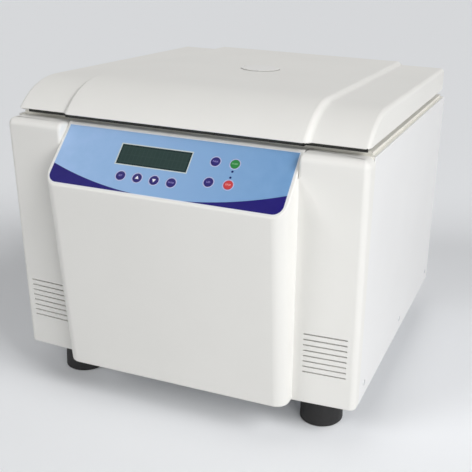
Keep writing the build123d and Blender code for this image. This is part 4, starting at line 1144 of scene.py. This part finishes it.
def model_side_panel(side, node):
    """Folded steel panel: the side, its rear return and the ledge that carries the deck."""
    inner = HALF_WIDTH - SHEET
    panel = block(
        f"{node}_sheet", side_range(side, inner, HALF_WIDTH), (SEAM_Y, BACK_Y), (BASE_Z, TOP_Z)
    )
    edit(panel)
    pick_edges(lambda c: near(c.y, BACK_Y) and near(c.z, TOP_Z))
    round_edges(PANEL_CORNER, 6)
    done()
    for name, width, y, z in (
        ("rear_return", RETURN_WIDTH, (REAR_PANEL_Y, BACK_Y), (BASE_Z, TOP_Z - PANEL_CORNER)),
        ("ledge", LEDGE_WIDTH, LEDGE_Y, (DECK_LOW_Z - SHEET, DECK_LOW_Z)),
    ):
        join_solid(panel, block(name, side_range(side, HALF_WIDTH - width, inner + WELD), y, z))
    cut_away(panel, screw_bores([(side * HALF_WIDTH, y, SIDE_SCREW_Z) for y in SIDE_SCREW_YS], X))
    cut_away(panel, screw_bores([(side * REAR_SCREW_X, BACK_Y, z) for z in REAR_SCREW_ZS], Y))
    soft_edges(panel, PANEL_EDGE, 3, 50)
    smooth(panel, 40)
    dress(panel, "casing_white", "chassis")
    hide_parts(node)


def model_rear_panel():
    """Rear sheet with the fan's slots and the cutouts for inlet and switch."""
    half = HALF_WIDTH - SHEET - PANEL_FIT
    sheet_y = (REAR_PANEL_Y - SHEET, REAR_PANEL_Y)
    panel = block("rear_sheet", (-half, half), sheet_y, (BASE_Z, DECK_LOW_Z))
    reach = (REAR_PANEL_Y - 2 * SHEET, REAR_PANEL_Y + SHEET)
    fan_slots = slot_stack(
        "fan_slot",
        around(FAN_X, GRILLE_LENGTH / 2),
        reach,
        FAN_Z - (GRILLE_SLOTS - 1) / 2 * GRILLE_PITCH,
        GRILLE_SLOT,
        GRILLE_ROUND,
        GRILLE_SLOTS,
        GRILLE_PITCH,
    )
    cut_away(panel, fan_slots)
    for z, wide, tall in (
        (INLET_Z, INLET_WIDTH, INLET_TALL),
        (SWITCH_Z, SWITCH_BODY_WIDTH, SWITCH_BODY_LENGTH),
    ):
        across = around(INLET_X, wide / 2 + PANEL_FIT)
        cut_away(panel, block("cutout", across, reach, around(z, tall / 2 + PANEL_FIT)))
    spots = [(side * REAR_SCREW_X, BACK_Y, z) for side in (-1, 1) for z in REAR_SCREW_ZS]
    cut_away(panel, screw_bores(spots, Y))
    soft_edges(panel, REAR_EDGE, 2, 50)
    smooth(panel, 40)
    dress(panel, "casing_white", "chassis")
    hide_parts("rear_panel")


def model_feet():
    """Tapered rubber feet with a soft sole and a shallow waist, bored for their bolts."""
    shrink = (FOOT_RADIUS - FOOT_TAPER) / FOOT_RADIUS
    feet = []
    for i, (x, y) in enumerate(FOOT_SPOTS):
        foot = disc(f"foot_{i}", (0, 0, FOOT_HEIGHT / 2), FOOT_RADIUS, FOOT_HEIGHT, 64)
        edit(foot)
        pick("VERT", lambda v: near(v.co.z, FOOT_HEIGHT))
        bpy.ops.transform.resize(value=(shrink, shrink, 1), center_override=(0, 0, FOOT_HEIGHT * MM))
        for z in WAIST_EDGES:
            slice_at((0, 0, z), (0, 0, 1))
        pick("VERT", lambda v: near(v.co.z, WAIST_EDGES[1]) or near(v.co.z, WAIST_EDGES[2]))
        bpy.ops.transform.resize(value=(WAIST_SHRINK, WAIST_SHRINK, 1), center_override=(0, 0, 0))
        for z, width, steps in ((0, FOOT_SOLE_ROUND, 4), (FOOT_HEIGHT, FOOT_TOP_ROUND, 2)):
            pick_edges(lambda c: near(c.z, z))
            round_edges(width, steps)
        done()
        bore_middle = (0, 0, FOOT_BORE_DEPTH / 2 - 1)
        cut_away(foot, disc("foot_bore", bore_middle, FOOT_BORE_RADIUS, FOOT_BORE_DEPTH + 2))
        hole_middle = (0, 0, FOOT_HEIGHT / 2)
        cut_away(foot, disc("bolt_hole", hole_middle, BOLT_RADIUS + BOLT_FIT, 2 * FOOT_HEIGHT, 32))
        feet.append(lay(foot, Matrix.Translation((x * MM, y * MM, 0))))
    feet = join(feet, "rubber_feet")
    smooth(feet, 40)
    dress(feet, "rubber_black", "chassis")
    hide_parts("feet")


def pan_screw(name, place, turn):
    """Domed screw with a cross recess, its head's underside at the place."""
    top = SCREW_HEAD_HEIGHT
    head = disc(f"{name}_head", (0, 0, top / 2), SCREW_HEAD_RADIUS, top, 32)
    edit(head)
    pick_edges(lambda c: near(c.z, top))
    round_edges(SCREW_DOME, 3)
    done()
    for wide, tall in ((CROSS_LENGTH, CROSS_WIDTH), (CROSS_WIDTH, CROSS_LENGTH)):
        sizes = (around(0, wide / 2), around(0, tall / 2), (top - CROSS_DEEP, top + 1))
        cut_away(head, block("cross", *sizes))
    shank_middle = (0, 0, 0.05 - SCREW_LENGTH / 2)
    join_solid(head, disc(f"{name}_shank", shank_middle, SCREW_RADIUS, SCREW_LENGTH + 0.1, 16))
    return lay(head, Matrix.Translation(Vector(place) * MM) @ turn.to_matrix().to_4x4())


def model_fasteners():
    """Casing screws, and each foot's bolt and nut."""
    up = Vector((0, 0, 1))
    rearward = up.rotation_difference(Vector((0, 1, 0)))
    pieces = []
    for side in (-1, 1):
        outward = up.rotation_difference(Vector((side, 0, 0)))
        for y in SIDE_SCREW_YS:
            pieces.append(pan_screw("side_screw", (side * HALF_WIDTH, y, SIDE_SCREW_Z), outward))
        for z in REAR_SCREW_ZS:
            pieces.append(pan_screw("rear_screw", (side * REAR_SCREW_X, BACK_Y, z), rearward))
    bolt_top = FLOOR_Z + BOLT_END
    for x, y in FOOT_SPOTS:
        head_middle = (x, y, FOOT_BORE_DEPTH - BOLT_HEAD_HEIGHT / 2)
        bolt = disc("bolt", head_middle, BOLT_HEAD_RADIUS, BOLT_HEAD_HEIGHT, 32)
        shank_middle = (x, y, (FOOT_BORE_DEPTH + bolt_top) / 2)
        shank_length = bolt_top - FOOT_BORE_DEPTH + 0.2
        join_solid(bolt, disc("bolt_shank", shank_middle, BOLT_RADIUS, shank_length, 24))
        soft_edges(bolt, BOLT_ROUND, 2, 50)
        nut = disc("nut", (x, y, FLOOR_Z + NUT_HEIGHT / 2), BOLT_HEAD_RADIUS, NUT_HEIGHT, 6)
        nut_bore = disc("nut_bore", (x, y, FLOOR_Z), BOLT_RADIUS + THREAD_FIT, 4 * NUT_HEIGHT, 24)
        cut_away(nut, nut_bore)
        soft_edges(nut, NUT_ROUND, 2, 50)
        pieces += [bolt, nut]
    fasteners = join(pieces, "screws_and_bolts")
    smooth(fasteners, 40)
    dress(fasteners, "screw_steel", "chassis")
    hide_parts("casing_fasteners")


for panel_side, panel_node in ((1, "right_side_panel"), (-1, "left_side_panel")):
    model_side_panel(panel_side, panel_node)
model_rear_panel()
model_feet()
model_fasteners()


# ---------- inlet and switch on the rear panel
def place_on_rear(obj, z):
    """Turns a piece made flat at the origin to face rearward, at a height on the rear panel."""
    turn = Matrix(((-1, 0, 0), (0, 0, 1), (0, 1, 0))).to_4x4()
    return lay(obj, Matrix.Translation(Vector((INLET_X, REAR_PANEL_Y, z)) * MM) @ turn)


def flanged_body(name, wide, tall, depth, flange_wide, flange_tall, flange_thick, corner, steps):
    """Body let into the panel under a flange with round corners, lying flat at the origin."""
    heights = (-depth, BODY_OVERLAP)
    body = block(name, around(0, wide / 2), around(0, tall / 2), heights)
    across = around(0, flange_wide / 2)
    flange = block("flange", across, around(0, flange_tall / 2), (0, flange_thick))
    edit(flange)
    pick("EDGE", lambda e: spans(e, Z) > 1)
    round_edges(corner, steps)
    pick_edges(lambda c: near(c.z, flange_thick))
    round_edges(RIM_ROUND, 2)
    done()
    join_solid(body, flange)
    return body


def model_inlet():
    """Mains inlet: flanged moulding with a socket whose lower corners are cut off, and three blades."""
    inlet = flanged_body(
        "inlet_moulding",
        INLET_WIDTH,
        INLET_TALL,
        INLET_DEPTH,
        INLET_WIDTH + 2 * INLET_FLANGE,
        INLET_TALL + INLET_FLANGE,
        INLET_RIM,
        INLET_CORNER,
        5,
    )
    socket_heights = (INLET_RIM - SOCKET_DEPTH, INLET_RIM + 1)
    socket = block("socket", around(0, SOCKET_WIDTH / 2), around(0, SOCKET_TALL / 2), socket_heights)
    edit(socket)
    pick("EDGE", lambda e: spans(e, Z) > 1 and e.verts[0].co.y < 0)
    round_edges(SOCKET_CHAMFER, 1)
    done()
    cut_away(inlet, socket)
    smooth(inlet, 30)
    place_on_rear(inlet, INLET_Z)
    dress(inlet, "black_plastic", "chassis")
    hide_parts("power_inlet")
    heights = (INLET_RIM - SOCKET_DEPTH - BODY_OVERLAP, INLET_RIM - PIN_THICK)
    spots = ((-PIN_SPREAD, PIN_RISE), (PIN_SPREAD, PIN_RISE), (0, PIN_RISE + PIN_TALL))
    pins = []
    for i, (x, y) in enumerate(spots):
        pin = block(f"inlet_pin_{i}", around(x, PIN_THICK / 2), around(y, PIN_TALL / 2), heights)
        soft_edges(pin, PIN_ROUND)
        pins.append(pin)
    pins = place_on_rear(join(pins, "inlet_pins"), INLET_Z)
    dress(pins, "black_plastic", "chassis", "screw_steel")


def model_switch():
    """Soft-edged frame of the power switch, with the axle its rocker turns on."""
    switch = flanged_body(
        "switch_bezel",
        SWITCH_BODY_WIDTH,
        SWITCH_BODY_LENGTH,
        SWITCH_DEPTH,
        SWITCH_BODY_WIDTH + 2 * ROCKER_RIM,
        SWITCH_BODY_LENGTH + 2 * ROCKER_RIM,
        SWITCH_FLANGE,
        SWITCH_CORNER,
        4,
    )
    well = block(
        "rocker_well",
        around(0, ROCKER_WIDTH / 2 + ROCKER_FIT),
        around(0, ROCKER_LENGTH / 2 + ROCKER_FIT),
        (SWITCH_FLANGE - SWITCH_DEPTH, SWITCH_FLANGE + 1),
    )
    cut_away(switch, well)
    pivot = (0, 0, -ROCKER_PIVOT)
    axle_length = ROCKER_WIDTH + 1.5
    join_solid(switch, disc("axle", pivot, ROCKER_AXLE, axle_length, 20, (0, radians(90), 0)))
    smooth(switch, 30)
    place_on_rear(switch, SWITCH_Z)
    dress(switch, "black_plastic", "chassis")
    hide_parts("switch_frame")


def mark_rocker(mark, along):
    """Lays a mark made flat at the origin on the rocker's sloping face, above or below its pivot."""
    slope = atan2(ROCKER_TIP - ROCKER_SADDLE, ROCKER_HALF)
    rise = ROCKER_SADDLE + abs(along) / ROCKER_HALF * (ROCKER_TIP - ROCKER_SADDLE)
    pivot = Matrix.Translation((0, 0, -ROCKER_PIVOT * MM)) @ Matrix.Rotation(-ROCKER_THROW, 4, "X")
    spot = Matrix.Translation((0, along * MM, rise * MM))
    lay(mark, pivot @ spot @ Matrix.Rotation(slope if along > 0 else -slope, 4, "X"))
    place_on_rear(mark, SWITCH_Z)
    dress(mark, "black_plastic", "rocker", "print_white")


def model_rocker_marks():
    """White ring for off on the rocker's upper end, pressed in at rest, and white bar for on below."""
    half_wide, half_long = MARK_BAR
    bar = block("rocker_on_bar", around(0, half_wide), around(0, half_long), (-INK, INK))
    mark_rocker(bar, -MARK_PLACE)
    mark_rocker(flat_ring("rocker_off_ring", (0, 0), *MARK_RING, -INK, INK), MARK_PLACE)


model_inlet()
model_switch()
model_rocker_marks()


# ---------- floor, lamps and camera
FLOOR_LIGHT = (0.5, 0.51, 0.522)  # what the floor throws on the model
FLOOR_SEEN = (0.92, 0.935, 0.957)  # what the camera sees of it
SKY_LOW = 0.03
SKY_BACK = 0.8

CAMERA_PLACE = Vector((388.65, -900.91, 519.33)) * MM
CAMERA_YAW = radians(18.24)
CAMERA_PITCH = radians(-20.82)
CAMERA_ROLL = radians(2.5)
FOCAL_PIXELS = 762.07
PRINCIPAL = (310.0, 243.0)
FRAME_SIDE = 472


def model_floor():
    """Matt floor, lighter to the camera than to the light that it throws back on the model."""
    clear_selection()
    bpy.ops.mesh.primitive_plane_add(size=30, location=(0, 0, 0))
    floor = settle("floor")
    shader, place = start_finish("floor_grey")
    rays = add_node(place, "LightPath").outputs
    seen = reckon("MAXIMUM", rays["Is Camera Ray"], rays["Is Glossy Ray"])
    seen = reckon("MAXIMUM", seen, rays["Is Transmission Ray"])
    colour = mix_colours(seen, FLOOR_LIGHT, FLOOR_SEEN)
    set_inputs(shader, Base_Color=colour, Roughness=1.0, Specular_IOR_Level=0.0)
    floor.data.materials.append(finishes["floor_grey"])


def light_sky():
    """Faint even sky, brighter towards the back."""
    world = bpy.data.worlds.new("studio")
    bpy.context.scene.world = world
    world.use_nodes = True
    nodes = world.node_tree.nodes
    place = nodes.new("ShaderNodeTexCoord").outputs["Generated"]
    rearward = add_node(place, "SeparateXYZ", Vector=place).outputs["Y"]
    back = reckon("MAXIMUM", reckon("MULTIPLY", rearward, SKY_BACK), 0)
    level = reckon("ADD", back, SKY_LOW)
    set_inputs(nodes["Background"], Color=(1, 1, 1), Strength=level)


def lamp(name, kind, place, aim, **settings):
    """Lamp at a place in metres, turned towards another."""
    data = bpy.data.lights.new(name, kind)
    for key, value in settings.items():
        setattr(data, key, value)
    obj = bpy.data.objects.new(name, data)
    bpy.context.scene.collection.objects.link(obj)
    obj.location = place
    obj.rotation_mode = "QUATERNION"
    obj.rotation_quaternion = (Vector(aim) - Vector(place)).to_track_quat("-Z", "Y")


def sun(name, turn, height, strength):
    """Soft even light from a side, turned from the front towards +X, and from a height, in degrees."""
    turn = radians(turn)
    height = radians(height)
    source = Vector((sin(turn) * cos(height), -cos(turn) * cos(height), sin(height)))
    lamp(name, "SUN", source * 3, (0, 0, 0), energy=strength, angle=radians(30))


def place_camera():
    """Camera with a small roll and a shifted lens."""
    forward = Vector(
        (-sin(CAMERA_YAW) * cos(CAMERA_PITCH), cos(CAMERA_YAW) * cos(CAMERA_PITCH), sin(CAMERA_PITCH))
    )
    level_right = Vector((cos(CAMERA_YAW), sin(CAMERA_YAW), 0))
    level_up = level_right.cross(forward)
    right = cos(CAMERA_ROLL) * level_right + sin(CAMERA_ROLL) * level_up
    up = -sin(CAMERA_ROLL) * level_right + cos(CAMERA_ROLL) * level_up
    lens = bpy.data.cameras.new("camera")
    camera = bpy.data.objects.new("camera", lens)
    bpy.context.scene.collection.objects.link(camera)
    turn = Matrix((right, up, -forward)).transposed()
    camera.matrix_world = Matrix.Translation(CAMERA_PLACE) @ turn.to_4x4()
    lens.sensor_width = 36
    lens.lens = FOCAL_PIXELS * lens.sensor_width / FRAME_SIDE
    lens.shift_x = (FRAME_SIDE / 2 - PRINCIPAL[0]) / FRAME_SIDE
    lens.shift_y = (PRINCIPAL[1] - FRAME_SIDE / 2) / FRAME_SIDE
    lens.clip_start = 0.01
    lens.clip_end = 100
    bpy.context.scene.camera = camera


model_floor()
light_sky()
side_aim = (0.05, -0.1, 0.2)
lamp("side_box", "AREA", (1.2, -1.25, 0.36), side_aim, shape="SQUARE", size=0.7, energy=9.6)
sun("right_light", 75, 40, 1.7)
sun("left_light", -42, 30, 1.16)
place_camera()
bpy.context.scene.view_settings.view_transform = "Standard"
